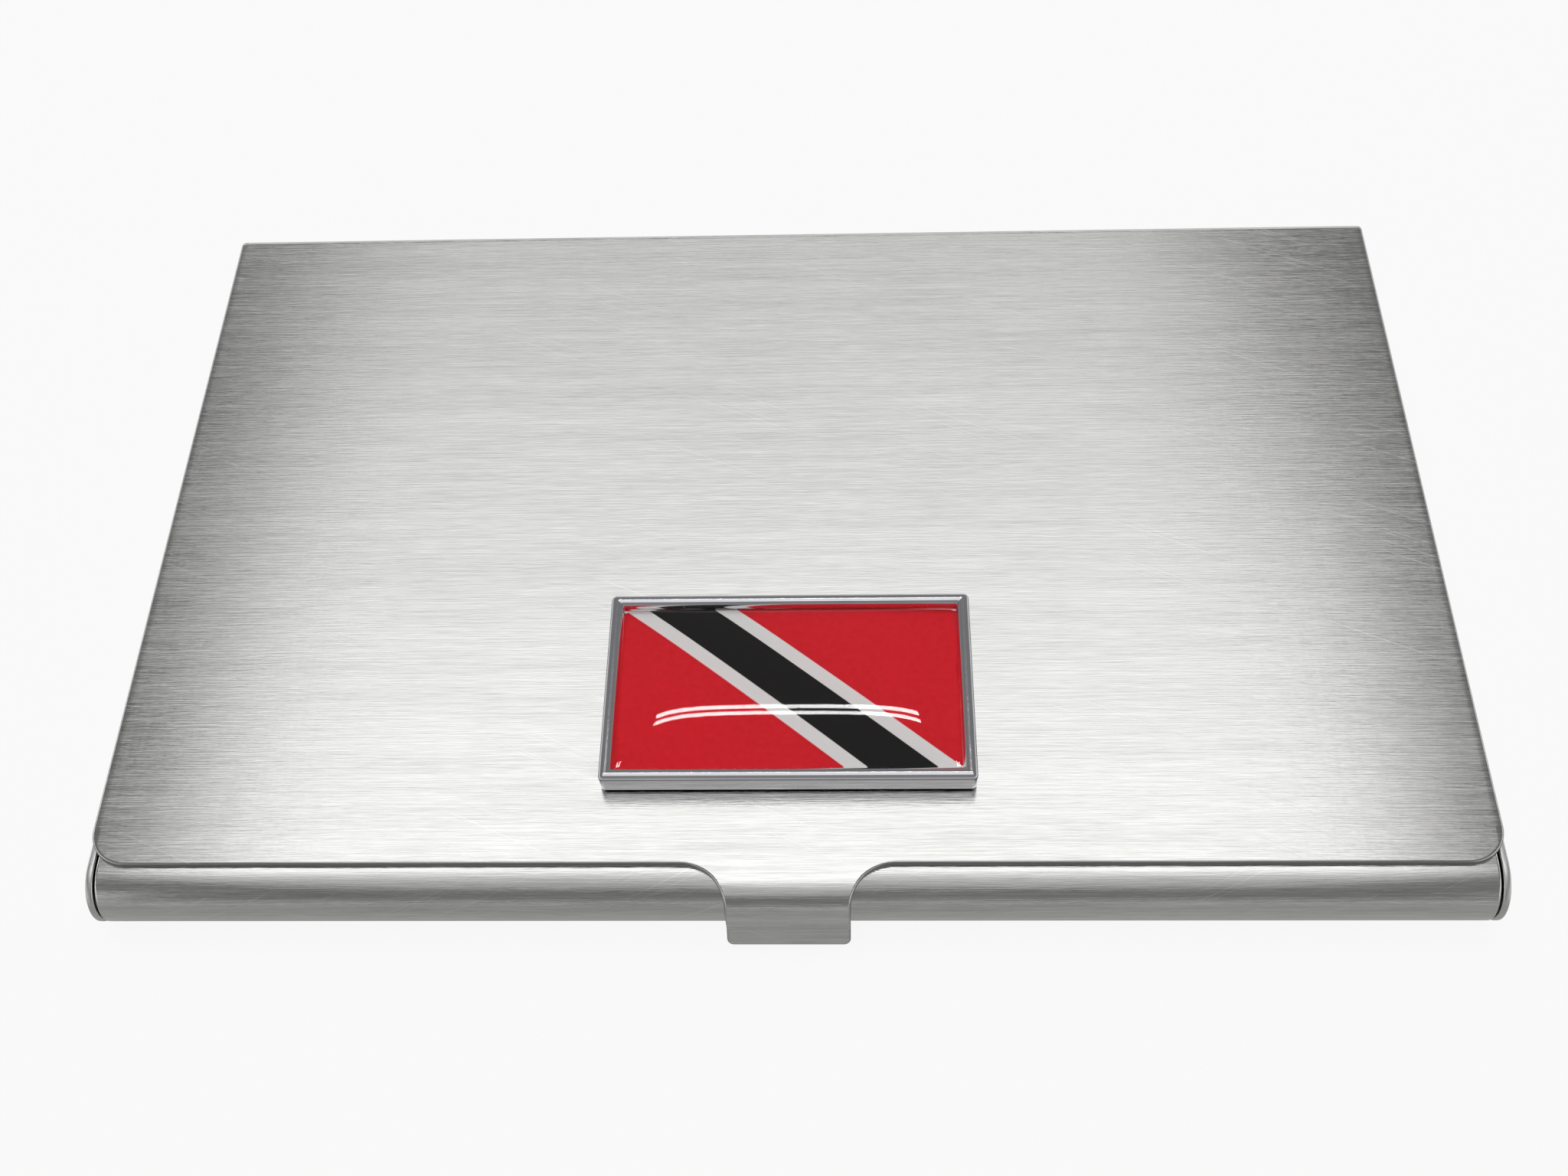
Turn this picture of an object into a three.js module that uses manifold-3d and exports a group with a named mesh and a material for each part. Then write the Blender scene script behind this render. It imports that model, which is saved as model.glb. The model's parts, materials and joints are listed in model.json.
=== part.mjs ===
// Business card case in folded sheet steel: a tray with a rolled front edge, a flat lid hinged
// at the back whose tab hooks over the roll, and a domed badge stuck on the lid.
// Millimetres, +Z up, the front that opens is at -Y. The origin lies under the middle of the
// closed case, on the plane of its underside.

import * as THREE from "three";
import { mergeVertices } from "three/addons/utils/BufferGeometryUtils.js";
import Module from "manifold-3d";

const wasm = await Module();
wasm.setup();

const QUARTER = Math.PI / 2;
const radians = THREE.MathUtils.degToRad;

// ---- Driving dimensions ----------------------------------------------------------------------

// Case
const CASE_WIDTH = 94; // over the side walls, and the lid plate's width
const LID_DEPTH = 57.2; // lid plate, from its front edge to the back face
const TRAY_HEIGHT = 5.5;
const TRAY_SHEET = 0.5;
const LID_SHEET = 0.5;

// Tray
const NOSE_SETBACK = 0.25; // centre of the rolled front edge, behind the lid plate's front edge
const NOSE_LIP = 6; // the roll's flat lip, running back under the lid
const ROLL_END_GAP = 0.2; // between the roll's ends and the side walls
const TRAY_BEND = 0.9; // outside radius where the floor turns up into a side wall
const WALL_FOOT_CORNER = 0.5; // lower back corner of a side wall

// Lid
const LID_FRONT_CORNER = 2.6;
const LID_BACK_CORNER = 0.65;
const LID_BACK_BEND = 0.75; // outside radius where the plate turns down into the back wall
const LID_SIDE_GAP = 0.1; // back wall and ears, inside the tray's side walls

// Tab that hooks over the rolled edge
const TAB_WIDTH = 8.3;
const TAB_ROOT_FILLET = 3;
const TAB_GAP = 0.1; // in front of the rolled edge
const CREASE_HEIGHT = 2; // where the thumb lip turns outward, above the underside
const CREASE_RADIUS = 0.6;
const LIP_END_HEIGHT = 0.7;
const LIP_FLARE = radians(26);
const LIP_CORNER = 0.45;
const TAB_OVERLAP = 0.5; // the tab's strip, sunk into the lid plate that it grows from

// Hinge
const HINGE_INSET = 2.5; // axis to the lid's back face, and to the plate's underside
const HINGE_GAP = 0.1; // between parts that turn past each other at the back
const FLOOR_SWEEP_GAP = 0.4; // tray floor's back edge, ahead of the swinging back wall
const OPEN_LIMIT = radians(100);
const EAR_RADIUS = 2.1;
const RIVET_RADIUS = 0.75;
const RIVET_HEAD_RADIUS = 1.5;
const RIVET_HEAD_THICK = 0.5;
const RIVET_SEAT_GAP = 0.02; // shank in the tray's side wall
const RIVET_RUNNING_GAP = 0.05; // shank in the ear, and head to ear

// Badge
const BADGE_WIDTH = 25.4;
const BADGE_DEPTH = 14.6;
const BADGE_HEIGHT = 1.8;
const BADGE_FRONT_MARGIN = 5.2; // lid plate's front edge to the badge
const BADGE_CORNER = 0.4;
const RIM_WIDTH = 0.9;
const BEZEL_FLOOR = 0.5;
const TAPE_THICK = 0.25;
const TAPE_INSET = 0.5;
const PRINT_THICK = 0.15;
const DOME_EDGE_DROP = 0.4; // dome's edge below the rim's top
const DOME_RISE = 0.65;
const BADGE_FIT = 0.05; // print and dome, inside the rim

// ---- Places that follow from them ------------------------------------------------------------

const HALF_WIDTH = CASE_WIDTH / 2;
const WALL_INSIDE = HALF_WIDTH - TRAY_SHEET;
const ROLL_END = WALL_INSIDE - ROLL_END_GAP;
const LID_TOP = TRAY_HEIGHT + LID_SHEET;
const NOSE_RADIUS = TRAY_HEIGHT / 2;
const TAB_BEND_LEAD = NOSE_SETBACK - TAB_GAP; // the tab's bend starts this far behind the edge

const HINGE_HEIGHT = TRAY_HEIGHT - HINGE_INSET;
const WALL_REAR_RADIUS = HINGE_INSET - HINGE_GAP;
const SWEEP_RADIUS = HINGE_HEIGHT - HINGE_GAP;
const BACK_WALL_DROP = Math.sqrt(Math.max(0, SWEEP_RADIUS ** 2 - HINGE_INSET ** 2));
const FLOOR_TO_AXIS = HINGE_HEIGHT - TRAY_SHEET;
const FLOOR_REAR_INSET =
  Math.sqrt(Math.max(0, SWEEP_RADIUS ** 2 - FLOOR_TO_AXIS ** 2)) + FLOOR_SWEEP_GAP;

const CREASE_TANGENT = CREASE_RADIUS * Math.tan(LIP_FLARE / 2);
const LIP_REACH = (CREASE_HEIGHT - LIP_END_HEIGHT) * Math.tan(LIP_FLARE);
const TAB_FRONT = NOSE_RADIUS + LID_SHEET - TAB_BEND_LEAD; // tab's face, ahead of the lid's edge
const LIP_FRONT = TAB_FRONT - LID_SHEET / 2 + LIP_REACH + (LID_SHEET / 2) * Math.cos(LIP_FLARE);

const BACK_FACE = (LID_DEPTH + LIP_FRONT) / 2;
const LID_FRONT = BACK_FACE - LID_DEPTH;
const NOSE_Y = LID_FRONT + NOSE_SETBACK;
const HINGE_Y = BACK_FACE - HINGE_INSET;
const FLOOR_REAR = HINGE_Y - FLOOR_REAR_INSET;

// ---- Geometry helpers ------------------------------------------------------------------------

/** Turns a closed three.js geometry into a solid. */
function solid(geometry) {
  const bare = geometry.clone();
  bare.deleteAttribute("normal");
  bare.deleteAttribute("uv");
  const merged = mergeVertices(bare, 1e-4);
  return new wasm.Manifold(
    new wasm.Mesh({
      numProp: 3,
      vertProperties: new Float32Array(merged.attributes.position.array),
      triVerts: new Uint32Array(merged.index.array),
    }),
  );
}

/** Turns a solid back into a named mesh. */
function named(name, body, material) {
  const { vertProperties, triVerts } = body.getMesh();
  const geometry = new THREE.BufferGeometry();
  geometry.setAttribute("position", new THREE.BufferAttribute(vertProperties, 3));
  geometry.setIndex(new THREE.BufferAttribute(triVerts, 1));
  geometry.computeVertexNormals();
  const mesh = new THREE.Mesh(geometry, material);
  mesh.name = name;
  return mesh;
}

/** Extrudes an outline drawn in (y, z) across the case, from x0 to x1. */
function acrossCase(outline, x0, x1) {
  const geometry = new THREE.ExtrudeGeometry(outline, {
    depth: x1 - x0,
    bevelEnabled: false,
    curveSegments: 12,
  });
  const toWorld = new THREE.Matrix4().makeBasis(
    new THREE.Vector3(0, 1, 0),
    new THREE.Vector3(0, 0, 1),
    new THREE.Vector3(1, 0, 0),
  );
  return solid(geometry.applyMatrix4(toWorld).translate(x0, 0, 0));
}

/** Extrudes an outline drawn in (x, z) along the case, from y0 back to y1. */
function alongCase(outline, y0, y1) {
  const geometry = new THREE.ExtrudeGeometry(outline, {
    depth: y1 - y0,
    bevelEnabled: false,
    curveSegments: 6,
  });
  return solid(geometry.rotateX(QUARTER).translate(0, y1, 0));
}

/** Closed surface through a stack of loops with equal point counts, capped at both ends. */
function throughLoops(loops) {
  const count = loops[0].length;
  const positions = loops.flat().flatMap((p) => [p.x, p.y, p.z]);
  const indices = [];
  for (let level = 0; level + 1 < loops.length; level++) {
    for (let i = 0; i < count; i++) {
      const a = level * count + i;
      const b = level * count + ((i + 1) % count);
      indices.push(a, b, b + count, a, b + count, a + count);
    }
  }
  const last = (loops.length - 1) * count;
  for (let i = 1; i + 1 < count; i++) {
    indices.push(0, i + 1, i, last, last + i, last + i + 1);
  }
  const geometry = new THREE.BufferGeometry();
  geometry.setAttribute("position", new THREE.Float32BufferAttribute(positions, 3));
  geometry.setIndex(indices);
  return solid(geometry);
}

/** Rectangle loop with round corners at one height, counterclockwise from above. */
function roundedLoop(centreY, width, depth, corner, z) {
  const cornerSteps = 4;
  const radius = Math.max(corner, 0.02);
  const signs = [[1, 1], [-1, 1], [-1, -1], [1, -1]];
  return signs.flatMap(([sx, sy], quarter) =>
    Array.from({ length: cornerSteps + 1 }, (_, i) => {
      const angle = (quarter + i / cornerSteps) * QUARTER;
      return new THREE.Vector3(
        sx * (width / 2 - radius) + radius * Math.cos(angle),
        centreY + sy * (depth / 2 - radius) + radius * Math.sin(angle),
        z,
      );
    }),
  );
}

/** Point and heading at a developed length along a bent strip's centre line in (y, z). */
function alongStrip(start, runs, distance) {
  let { y, z, heading } = start;
  let left = distance;
  for (const run of runs) {
    const length = Math.min(left, run.length);
    const turn = (run.turn * length) / run.length;
    const chord = turn === 0 ? length : (length * Math.sin(turn / 2)) / (turn / 2);
    y += chord * Math.cos(heading + turn / 2);
    z += chord * Math.sin(heading + turn / 2);
    heading += turn;
    left -= length;
  }
  return { y, z, heading };
}

/** Even steps from a to b, both ends in. */
function steps(a, b, count) {
  return Array.from({ length: count + 1 }, (_, i) => a + ((b - a) * i) / count);
}

// ---- Materials -------------------------------------------------------------------------------

const brushedSteel = new THREE.MeshStandardMaterial({
  color: 0xb9bab8,
  roughness: 0.32,
  metalness: 1,
});
const rivetSteel = new THREE.MeshStandardMaterial({
  color: 0xa9aaa9,
  roughness: 0.28,
  metalness: 1,
});
const chrome = new THREE.MeshStandardMaterial({ color: 0xd6d8da, roughness: 0.08, metalness: 1 });
const printedFoil = new THREE.MeshStandardMaterial({
  color: 0xc0121c,
  roughness: 0.4,
  metalness: 0,
});
const clearResin = new THREE.MeshStandardMaterial({
  color: 0xf4f6f6,
  roughness: 0.04,
  metalness: 0,
  transparent: true,
  opacity: 0.25,
});
const adhesiveTape = new THREE.MeshStandardMaterial({
  color: 0x1c1c1e,
  roughness: 0.8,
  metalness: 0,
});

// ---- Tray ------------------------------------------------------------------------------------

/** Floor, rolled front edge and the roll's flat lip, as one bent strip seen from the side. */
function floorAndRollOutline() {
  const inner = NOSE_RADIUS - TRAY_SHEET;
  const lipEnd = NOSE_Y + NOSE_LIP;
  const outline = new THREE.Shape();
  outline.moveTo(FLOOR_REAR, 0);
  outline.lineTo(NOSE_Y, 0);
  outline.absarc(NOSE_Y, NOSE_RADIUS, NOSE_RADIUS, -QUARTER, -3 * QUARTER, true);
  outline.lineTo(lipEnd, TRAY_HEIGHT);
  outline.lineTo(lipEnd, TRAY_HEIGHT - TRAY_SHEET);
  outline.lineTo(NOSE_Y, TRAY_HEIGHT - TRAY_SHEET);
  outline.absarc(NOSE_Y, NOSE_RADIUS, inner, -3 * QUARTER, -QUARTER, false);
  outline.lineTo(FLOOR_REAR, TRAY_SHEET);
  outline.closePath();
  return outline;
}

/** Side wall: round nose in front; at the back an arc about the hinge and the lid's stop face. */
function sideWallOutline() {
  const lowestAngle = QUARTER - OPEN_LIMIT; // where the open lid's plate faces the wall
  const across = Math.cos(lowestAngle);
  const down = Math.sin(lowestAngle);
  const footOffset = WALL_REAR_RADIUS - WALL_FOOT_CORNER;
  const footY = HINGE_Y + (footOffset - down * (WALL_FOOT_CORNER - HINGE_HEIGHT)) / across;
  const outline = new THREE.Shape();
  outline.moveTo(NOSE_Y, 0);
  outline.absarc(NOSE_Y, NOSE_RADIUS, NOSE_RADIUS, -QUARTER, -3 * QUARTER, true);
  outline.lineTo(HINGE_Y - WALL_FOOT_CORNER, TRAY_HEIGHT);
  outline.absarc(HINGE_Y, HINGE_HEIGHT, WALL_REAR_RADIUS, QUARTER, lowestAngle, true);
  outline.absarc(footY, WALL_FOOT_CORNER, WALL_FOOT_CORNER, lowestAngle, -QUARTER, true);
  outline.closePath();
  const hole = new THREE.Path();
  hole.absarc(HINGE_Y, HINGE_HEIGHT, RIVET_RADIUS + RIVET_SEAT_GAP, 0, 4 * QUARTER, false);
  outline.holes.push(hole);
  return outline;
}

/** Right-hand bend from the floor up into the side wall, seen from the front. */
function floorBendOutline() {
  const centreX = HALF_WIDTH - TRAY_BEND;
  const outline = new THREE.Shape();
  outline.moveTo(centreX - TRAY_SHEET, 0);
  outline.absarc(centreX, TRAY_BEND, TRAY_BEND, -QUARTER, 0, false);
  outline.absarc(centreX, TRAY_BEND, TRAY_BEND - TRAY_SHEET, 0, -QUARTER, true);
  outline.lineTo(centreX - TRAY_SHEET, TRAY_SHEET);
  outline.closePath();
  return outline;
}

/** Outer section of the tray, with the lower corners rounded as the sheet is. */
function trayEnvelopeOutline() {
  const side = HALF_WIDTH - TRAY_BEND;
  const outline = new THREE.Shape();
  outline.moveTo(-side, 0);
  outline.absarc(side, TRAY_BEND, TRAY_BEND, -QUARTER, 0, false);
  outline.lineTo(HALF_WIDTH, TRAY_HEIGHT);
  outline.lineTo(-HALF_WIDTH, TRAY_HEIGHT);
  outline.absarc(-side, TRAY_BEND, TRAY_BEND, -2 * QUARTER, -QUARTER, false);
  outline.closePath();
  return outline;
}

function makeTray() {
  const walls = sideWallOutline();
  const bend = alongCase(floorBendOutline(), NOSE_Y, FLOOR_REAR);
  const envelope = alongCase(trayEnvelopeOutline(), NOSE_Y - NOSE_RADIUS, BACK_FACE);
  const body = acrossCase(floorAndRollOutline(), -ROLL_END, ROLL_END)
    .add(acrossCase(walls, WALL_INSIDE, HALF_WIDTH))
    .add(acrossCase(walls, -HALF_WIDTH, -WALL_INSIDE))
    .add(bend)
    .add(bend.mirror([1, 0, 0]))
    .intersect(envelope);
  return named("base_tray", body, brushedSteel);
}

// ---- Lid -------------------------------------------------------------------------------------

/** Lid plate from above, with a recess at the front edge that the tab's strip fills. */
function platePlan() {
  const front = LID_FRONT_CORNER;
  const back = LID_BACK_CORNER;
  const root = TAB_WIDTH / 2 + TAB_ROOT_FILLET - TAB_OVERLAP;
  const plan = new THREE.Shape();
  plan.moveTo(root, LID_FRONT);
  plan.absarc(HALF_WIDTH - front, LID_FRONT + front, front, -QUARTER, 0, false);
  plan.absarc(HALF_WIDTH - back, BACK_FACE - back, back, 0, QUARTER, false);
  plan.absarc(back - HALF_WIDTH, BACK_FACE - back, back, QUARTER, 2 * QUARTER, false);
  plan.absarc(front - HALF_WIDTH, LID_FRONT + front, front, 2 * QUARTER, 3 * QUARTER, false);
  plan.lineTo(-root, LID_FRONT);
  plan.lineTo(-root, LID_FRONT + TAB_BEND_LEAD);
  plan.lineTo(root, LID_FRONT + TAB_BEND_LEAD);
  plan.closePath();
  return plan;
}

/** What is cut away outside the bend along the lid's back edge, seen from the side. */
function backEdgeCutOutline() {
  const bendY = BACK_FACE - LID_BACK_BEND;
  const bendZ = LID_TOP - LID_BACK_BEND;
  const clear = LID_SHEET;
  const outline = new THREE.Shape();
  outline.moveTo(bendY, LID_TOP + clear);
  outline.absarc(bendY, bendZ, LID_BACK_BEND, QUARTER, 0, true);
  outline.lineTo(BACK_FACE + clear, bendZ);
  outline.lineTo(BACK_FACE + clear, LID_TOP + clear);
  outline.closePath();
  return outline;
}

/** Back wall of the lid and the inside of its bend, seen from the side. */
function backWallOutline() {
  const insideBend = LID_BACK_BEND - LID_SHEET;
  const lowEdge = HINGE_HEIGHT - BACK_WALL_DROP;
  const outline = new THREE.Shape();
  outline.moveTo(BACK_FACE, LID_TOP - LID_SHEET / 2);
  outline.lineTo(BACK_FACE, lowEdge);
  outline.lineTo(BACK_FACE - LID_SHEET, lowEdge);
  outline.absarc(
    BACK_FACE - LID_BACK_BEND,
    TRAY_HEIGHT - insideBend,
    insideBend,
    0,
    QUARTER,
    false,
  );
  outline.lineTo(BACK_FACE - LID_BACK_BEND, LID_TOP - LID_SHEET / 2);
  outline.closePath();
  return outline;
}

/** Ear that turns on the rivet: an eye about the hinge axis, joined to the back wall. */
function earOutline() {
  const drop = Math.min(BACK_WALL_DROP, EAR_RADIUS);
  const outline = new THREE.Shape();
  outline.moveTo(HINGE_Y, HINGE_HEIGHT + EAR_RADIUS);
  outline.lineTo(BACK_FACE - LID_SHEET / 2, HINGE_HEIGHT + EAR_RADIUS);
  outline.lineTo(BACK_FACE - LID_SHEET / 2, HINGE_HEIGHT - drop);
  outline.absarc(
    HINGE_Y,
    HINGE_HEIGHT,
    EAR_RADIUS,
    -Math.asin(drop / EAR_RADIUS),
    -3 * QUARTER,
    true,
  );
  outline.closePath();
  const hole = new THREE.Path();
  hole.absarc(HINGE_Y, HINGE_HEIGHT, RIVET_RADIUS + RIVET_RUNNING_GAP, 0, 4 * QUARTER, false);
  outline.holes.push(hole);
  return outline;
}

/** Tab strip: over the roll, straight down past its middle, then flared out as a thumb lip. */
function makeTabStrip() {
  const bendRadius = NOSE_RADIUS + LID_SHEET / 2;
  const runs = [
    { length: TAB_OVERLAP, turn: 0 },
    { length: bendRadius * QUARTER, turn: QUARTER },
    { length: NOSE_RADIUS - CREASE_HEIGHT - CREASE_TANGENT, turn: 0 },
    { length: CREASE_RADIUS * LIP_FLARE, turn: -LIP_FLARE },
    {
      length: (CREASE_HEIGHT - LIP_END_HEIGHT) / Math.cos(LIP_FLARE) - CREASE_TANGENT,
      turn: 0,
    },
  ];
  const ends = runs.reduce((sums, run) => [...sums, sums.at(-1) + run.length], [0]);
  const total = ends.at(-1);
  const filletEnd = TAB_OVERLAP + TAB_BEND_LEAD + TAB_ROOT_FILLET;
  const stations = [
    0,
    ...steps(ends[1], ends[2], 12),
    ...steps(ends[3], ends[4], 3),
    ...steps(0, QUARTER, 8).map((a) => filletEnd - TAB_ROOT_FILLET * Math.cos(a)),
    ...steps(0, QUARTER, 4).map((a) => total - LIP_CORNER * (1 - Math.cos(a))),
  ].sort((a, b) => a - b);
  const distinct = stations.filter((s, i) => i === 0 || s - stations[i - 1] > 0.01);

  const halfWidth = (s) => {
    const toFilletEnd = Math.min(Math.max(filletEnd - s, 0), TAB_ROOT_FILLET);
    const intoCorner = Math.min(Math.max(LIP_CORNER - (total - s), 0), LIP_CORNER);
    const flare = TAB_ROOT_FILLET - Math.sqrt(TAB_ROOT_FILLET ** 2 - toFilletEnd ** 2);
    const rounding = LIP_CORNER - Math.sqrt(LIP_CORNER ** 2 - intoCorner ** 2);
    return TAB_WIDTH / 2 + flare - rounding;
  };
  const start = {
    y: LID_FRONT + TAB_BEND_LEAD + TAB_OVERLAP,
    z: TRAY_HEIGHT + LID_SHEET / 2,
    heading: 2 * QUARTER,
  };
  const sections = distinct.map((s) => {
    const { y, z, heading } = alongStrip(start, runs, s);
    const outY = (Math.cos(heading - QUARTER) * LID_SHEET) / 2;
    const outZ = (Math.sin(heading - QUARTER) * LID_SHEET) / 2;
    const half = halfWidth(s);
    return [
      new THREE.Vector3(-half, y - outY, z - outZ),
      new THREE.Vector3(half, y - outY, z - outZ),
      new THREE.Vector3(half, y + outY, z + outZ),
      new THREE.Vector3(-half, y + outY, z + outZ),
    ];
  });
  return throughLoops(sections);
}

function makeLid() {
  const earOutside = WALL_INSIDE - LID_SIDE_GAP;
  const plate = new THREE.ExtrudeGeometry(platePlan(), {
    depth: LID_SHEET,
    bevelEnabled: false,
    curveSegments: 8,
  }).translate(0, 0, TRAY_HEIGHT);
  const body = solid(plate)
    .add(acrossCase(backWallOutline(), -earOutside, earOutside))
    .subtract(acrossCase(backEdgeCutOutline(), -CASE_WIDTH, CASE_WIDTH))
    .add(acrossCase(earOutline(), earOutside - LID_SHEET, earOutside))
    .add(acrossCase(earOutline(), -earOutside, LID_SHEET - earOutside))
    .add(makeTabStrip());
  return named("lid_cover", body, brushedSteel);
}

// ---- Hinge rivets ----------------------------------------------------------------------------

/** Rivet with its head inside the ear and its shank ending flush with the side wall. */
function makeRivet(name, side) {
  const headOutside = WALL_INSIDE - LID_SIDE_GAP - LID_SHEET - RIVET_RUNNING_GAP;
  const profile = [
    new THREE.Vector2(0, headOutside - RIVET_HEAD_THICK),
    new THREE.Vector2(RIVET_HEAD_RADIUS, headOutside - RIVET_HEAD_THICK),
    new THREE.Vector2(RIVET_HEAD_RADIUS, headOutside),
    new THREE.Vector2(RIVET_RADIUS, headOutside),
    new THREE.Vector2(RIVET_RADIUS, HALF_WIDTH),
    new THREE.Vector2(0, HALF_WIDTH),
  ];
  const geometry = new THREE.LatheGeometry(profile, 32)
    .rotateZ(-side * QUARTER)
    .translate(0, HINGE_Y, HINGE_HEIGHT);
  return named(name, solid(geometry), rivetSteel);
}

// ---- Badge -----------------------------------------------------------------------------------

const BADGE_Y = LID_FRONT + BADGE_FRONT_MARGIN + BADGE_DEPTH / 2;
const BEZEL_BOTTOM = LID_TOP + TAPE_THICK;
const BEZEL_TOP = BEZEL_BOTTOM + BADGE_HEIGHT;
const BEZEL_FLOOR_TOP = BEZEL_BOTTOM + BEZEL_FLOOR;
const PRINT_TOP = BEZEL_FLOOR_TOP + PRINT_THICK;
const WINDOW_INSET = RIM_WIDTH + BADGE_FIT;

/** Badge outline drawn in by an inset, at one height. */
function badgeLoop(inset, z) {
  return roundedLoop(
    BADGE_Y,
    BADGE_WIDTH - 2 * inset,
    BADGE_DEPTH - 2 * inset,
    BADGE_CORNER - inset,
    z,
  );
}

/** Double-sided tape between the lid and the bezel. */
function makeTape() {
  const body = throughLoops([badgeLoop(TAPE_INSET, LID_TOP), badgeLoop(TAPE_INSET, BEZEL_BOTTOM)]);
  return named("badge_adhesive", body, adhesiveTape);
}

/** Shallow metal dish with a half-round rim. */
function makeBezel() {
  const crown = RIM_WIDTH / 2;
  const rim = steps(0, 2 * QUARTER, 10).map((angle) =>
    badgeLoop(crown * (1 - Math.cos(angle)), BEZEL_TOP - crown + crown * Math.sin(angle)),
  );
  const body = throughLoops([
    badgeLoop(0, BEZEL_BOTTOM),
    ...rim,
    badgeLoop(RIM_WIDTH, BEZEL_FLOOR_TOP),
  ]);
  return named("badge_bezel", body, chrome);
}

/** Printed foil on the dish's floor. */
function makePrint() {
  const body = throughLoops([
    badgeLoop(WINDOW_INSET, BEZEL_FLOOR_TOP),
    badgeLoop(WINDOW_INSET, PRINT_TOP),
  ]);
  return named("badge_print", body, printedFoil);
}

/** Clear resin poured over the print, steep at its edge and nearly flat in the middle. */
function makeDome() {
  const reach = BADGE_DEPTH / 2 - WINDOW_INSET;
  const edge = BEZEL_TOP - DOME_EDGE_DROP;
  const crown = steps(0, radians(80), 8).map((angle) => {
    const inset = WINDOW_INSET + reach * (1 - Math.cos(angle));
    return badgeLoop(inset, edge + (DOME_RISE * Math.sin(angle)) / Math.sin(radians(80)));
  });
  const body = throughLoops([badgeLoop(WINDOW_INSET, PRINT_TOP), ...crown]);
  return named("badge_dome", body, clearResin);
}

// ---- Assembly --------------------------------------------------------------------------------

const tray = new THREE.Group();
tray.add(makeTray());
tray.add(makeRivet("hinge_rivet_left", -1));
tray.add(makeRivet("hinge_rivet_right", 1));

const lid = new THREE.Group();
lid.add(makeLid(), makeTape(), makeBezel(), makePrint(), makeDome());

const group = new THREE.Group();
group.add(tray, lid);

export default group;
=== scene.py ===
"""Flat brushed-steel business card case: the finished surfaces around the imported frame.

The tray and the lid are made the way the real ones are: a flat blank is cut with its rounded
edges and holes, and every point of it is then carried through the folds. The badge, the hinge
rivets, the studio and the finishes each have their own class. Lengths are metres throughout.
"""

import json
import logging
import math
from dataclasses import dataclass
from enum import Enum
from typing import Callable, Iterable, Sequence

import bmesh
import bpy
from mathutils import Matrix, Vector


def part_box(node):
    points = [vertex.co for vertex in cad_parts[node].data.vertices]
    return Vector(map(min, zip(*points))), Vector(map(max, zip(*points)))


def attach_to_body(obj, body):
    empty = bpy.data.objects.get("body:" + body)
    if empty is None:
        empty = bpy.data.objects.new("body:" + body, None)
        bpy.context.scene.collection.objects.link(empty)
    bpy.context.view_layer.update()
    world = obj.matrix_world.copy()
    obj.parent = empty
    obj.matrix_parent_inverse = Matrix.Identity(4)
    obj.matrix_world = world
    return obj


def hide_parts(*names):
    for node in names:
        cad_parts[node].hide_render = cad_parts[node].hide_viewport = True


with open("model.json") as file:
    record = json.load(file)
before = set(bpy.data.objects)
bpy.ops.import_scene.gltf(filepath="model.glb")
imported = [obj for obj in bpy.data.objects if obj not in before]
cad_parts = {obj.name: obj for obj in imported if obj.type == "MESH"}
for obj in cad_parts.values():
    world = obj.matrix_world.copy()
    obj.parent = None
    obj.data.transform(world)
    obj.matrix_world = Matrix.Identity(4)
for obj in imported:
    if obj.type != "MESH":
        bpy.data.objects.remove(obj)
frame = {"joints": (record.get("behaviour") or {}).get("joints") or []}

log = logging.getLogger("card_case")

MM = 0.001
QUARTER = math.pi / 2
# TRAY_EDGE gives the tray's edges the colour of its faces, so the painted edge shade shows only on
# the lid
TRAY_EDGE = (0.60, 0.60, 0.59, 1)  # the tray's cut edges are brushed as bright as its faces
BLANK_PLACE = "blank_place"  # each point's place on the flat blank, kept through the folds

Point2 = tuple[float, float]
Point3 = tuple[float, float, float]
Colour = tuple[float, float, float, float]


class NodeType(Enum):
    """Every kind of node that the trees use."""

    ATTRIBUTE = "ShaderNodeAttribute"
    BACKGROUND = "ShaderNodeBackground"
    BUMP = "ShaderNodeBump"
    COMBINE = "ShaderNodeCombineXYZ"
    COORDINATES = "ShaderNodeTexCoord"
    DIFFUSE = "ShaderNodeBsdfDiffuse"
    EMISSION = "ShaderNodeEmission"
    LIGHT_PATH = "ShaderNodeLightPath"
    MAPPING = "ShaderNodeMapping"
    MATERIAL_OUTPUT = "ShaderNodeOutputMaterial"
    MATH = "ShaderNodeMath"
    MIX = "ShaderNodeMix"
    MIX_SHADER = "ShaderNodeMixShader"
    NOISE = "ShaderNodeTexNoise"
    PRINCIPLED = "ShaderNodeBsdfPrincipled"
    SEPARATE = "ShaderNodeSeparateXYZ"
    TRANSPARENT = "ShaderNodeBsdfTransparent"
    VECTOR_MATH = "ShaderNodeVectorMath"
    WORLD_OUTPUT = "ShaderNodeOutputWorld"
    CYLINDER = "GeometryNodeMeshCylinder"
    EXTRUDE = "GeometryNodeExtrudeMesh"
    FLIP_FACES = "GeometryNodeFlipFaces"
    GRID = "GeometryNodeMeshGrid"
    GROUP_INPUT = "NodeGroupInput"
    GROUP_OUTPUT = "NodeGroupOutput"
    INDEX = "GeometryNodeInputIndex"
    INSTANCES = "GeometryNodeInstanceOnPoints"
    JOIN = "GeometryNodeJoinGeometry"
    LINE = "GeometryNodeMeshLine"
    MERGE = "GeometryNodeMergeByDistance"
    POSITION = "GeometryNodeInputPosition"
    REALIZE = "GeometryNodeRealizeInstances"
    SET_MATERIAL = "GeometryNodeSetMaterial"
    SET_POSITION = "GeometryNodeSetPosition"
    TRANSFORM = "GeometryNodeTransform"

# ---- Node trees --------------------------------------------------------------------------------


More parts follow.
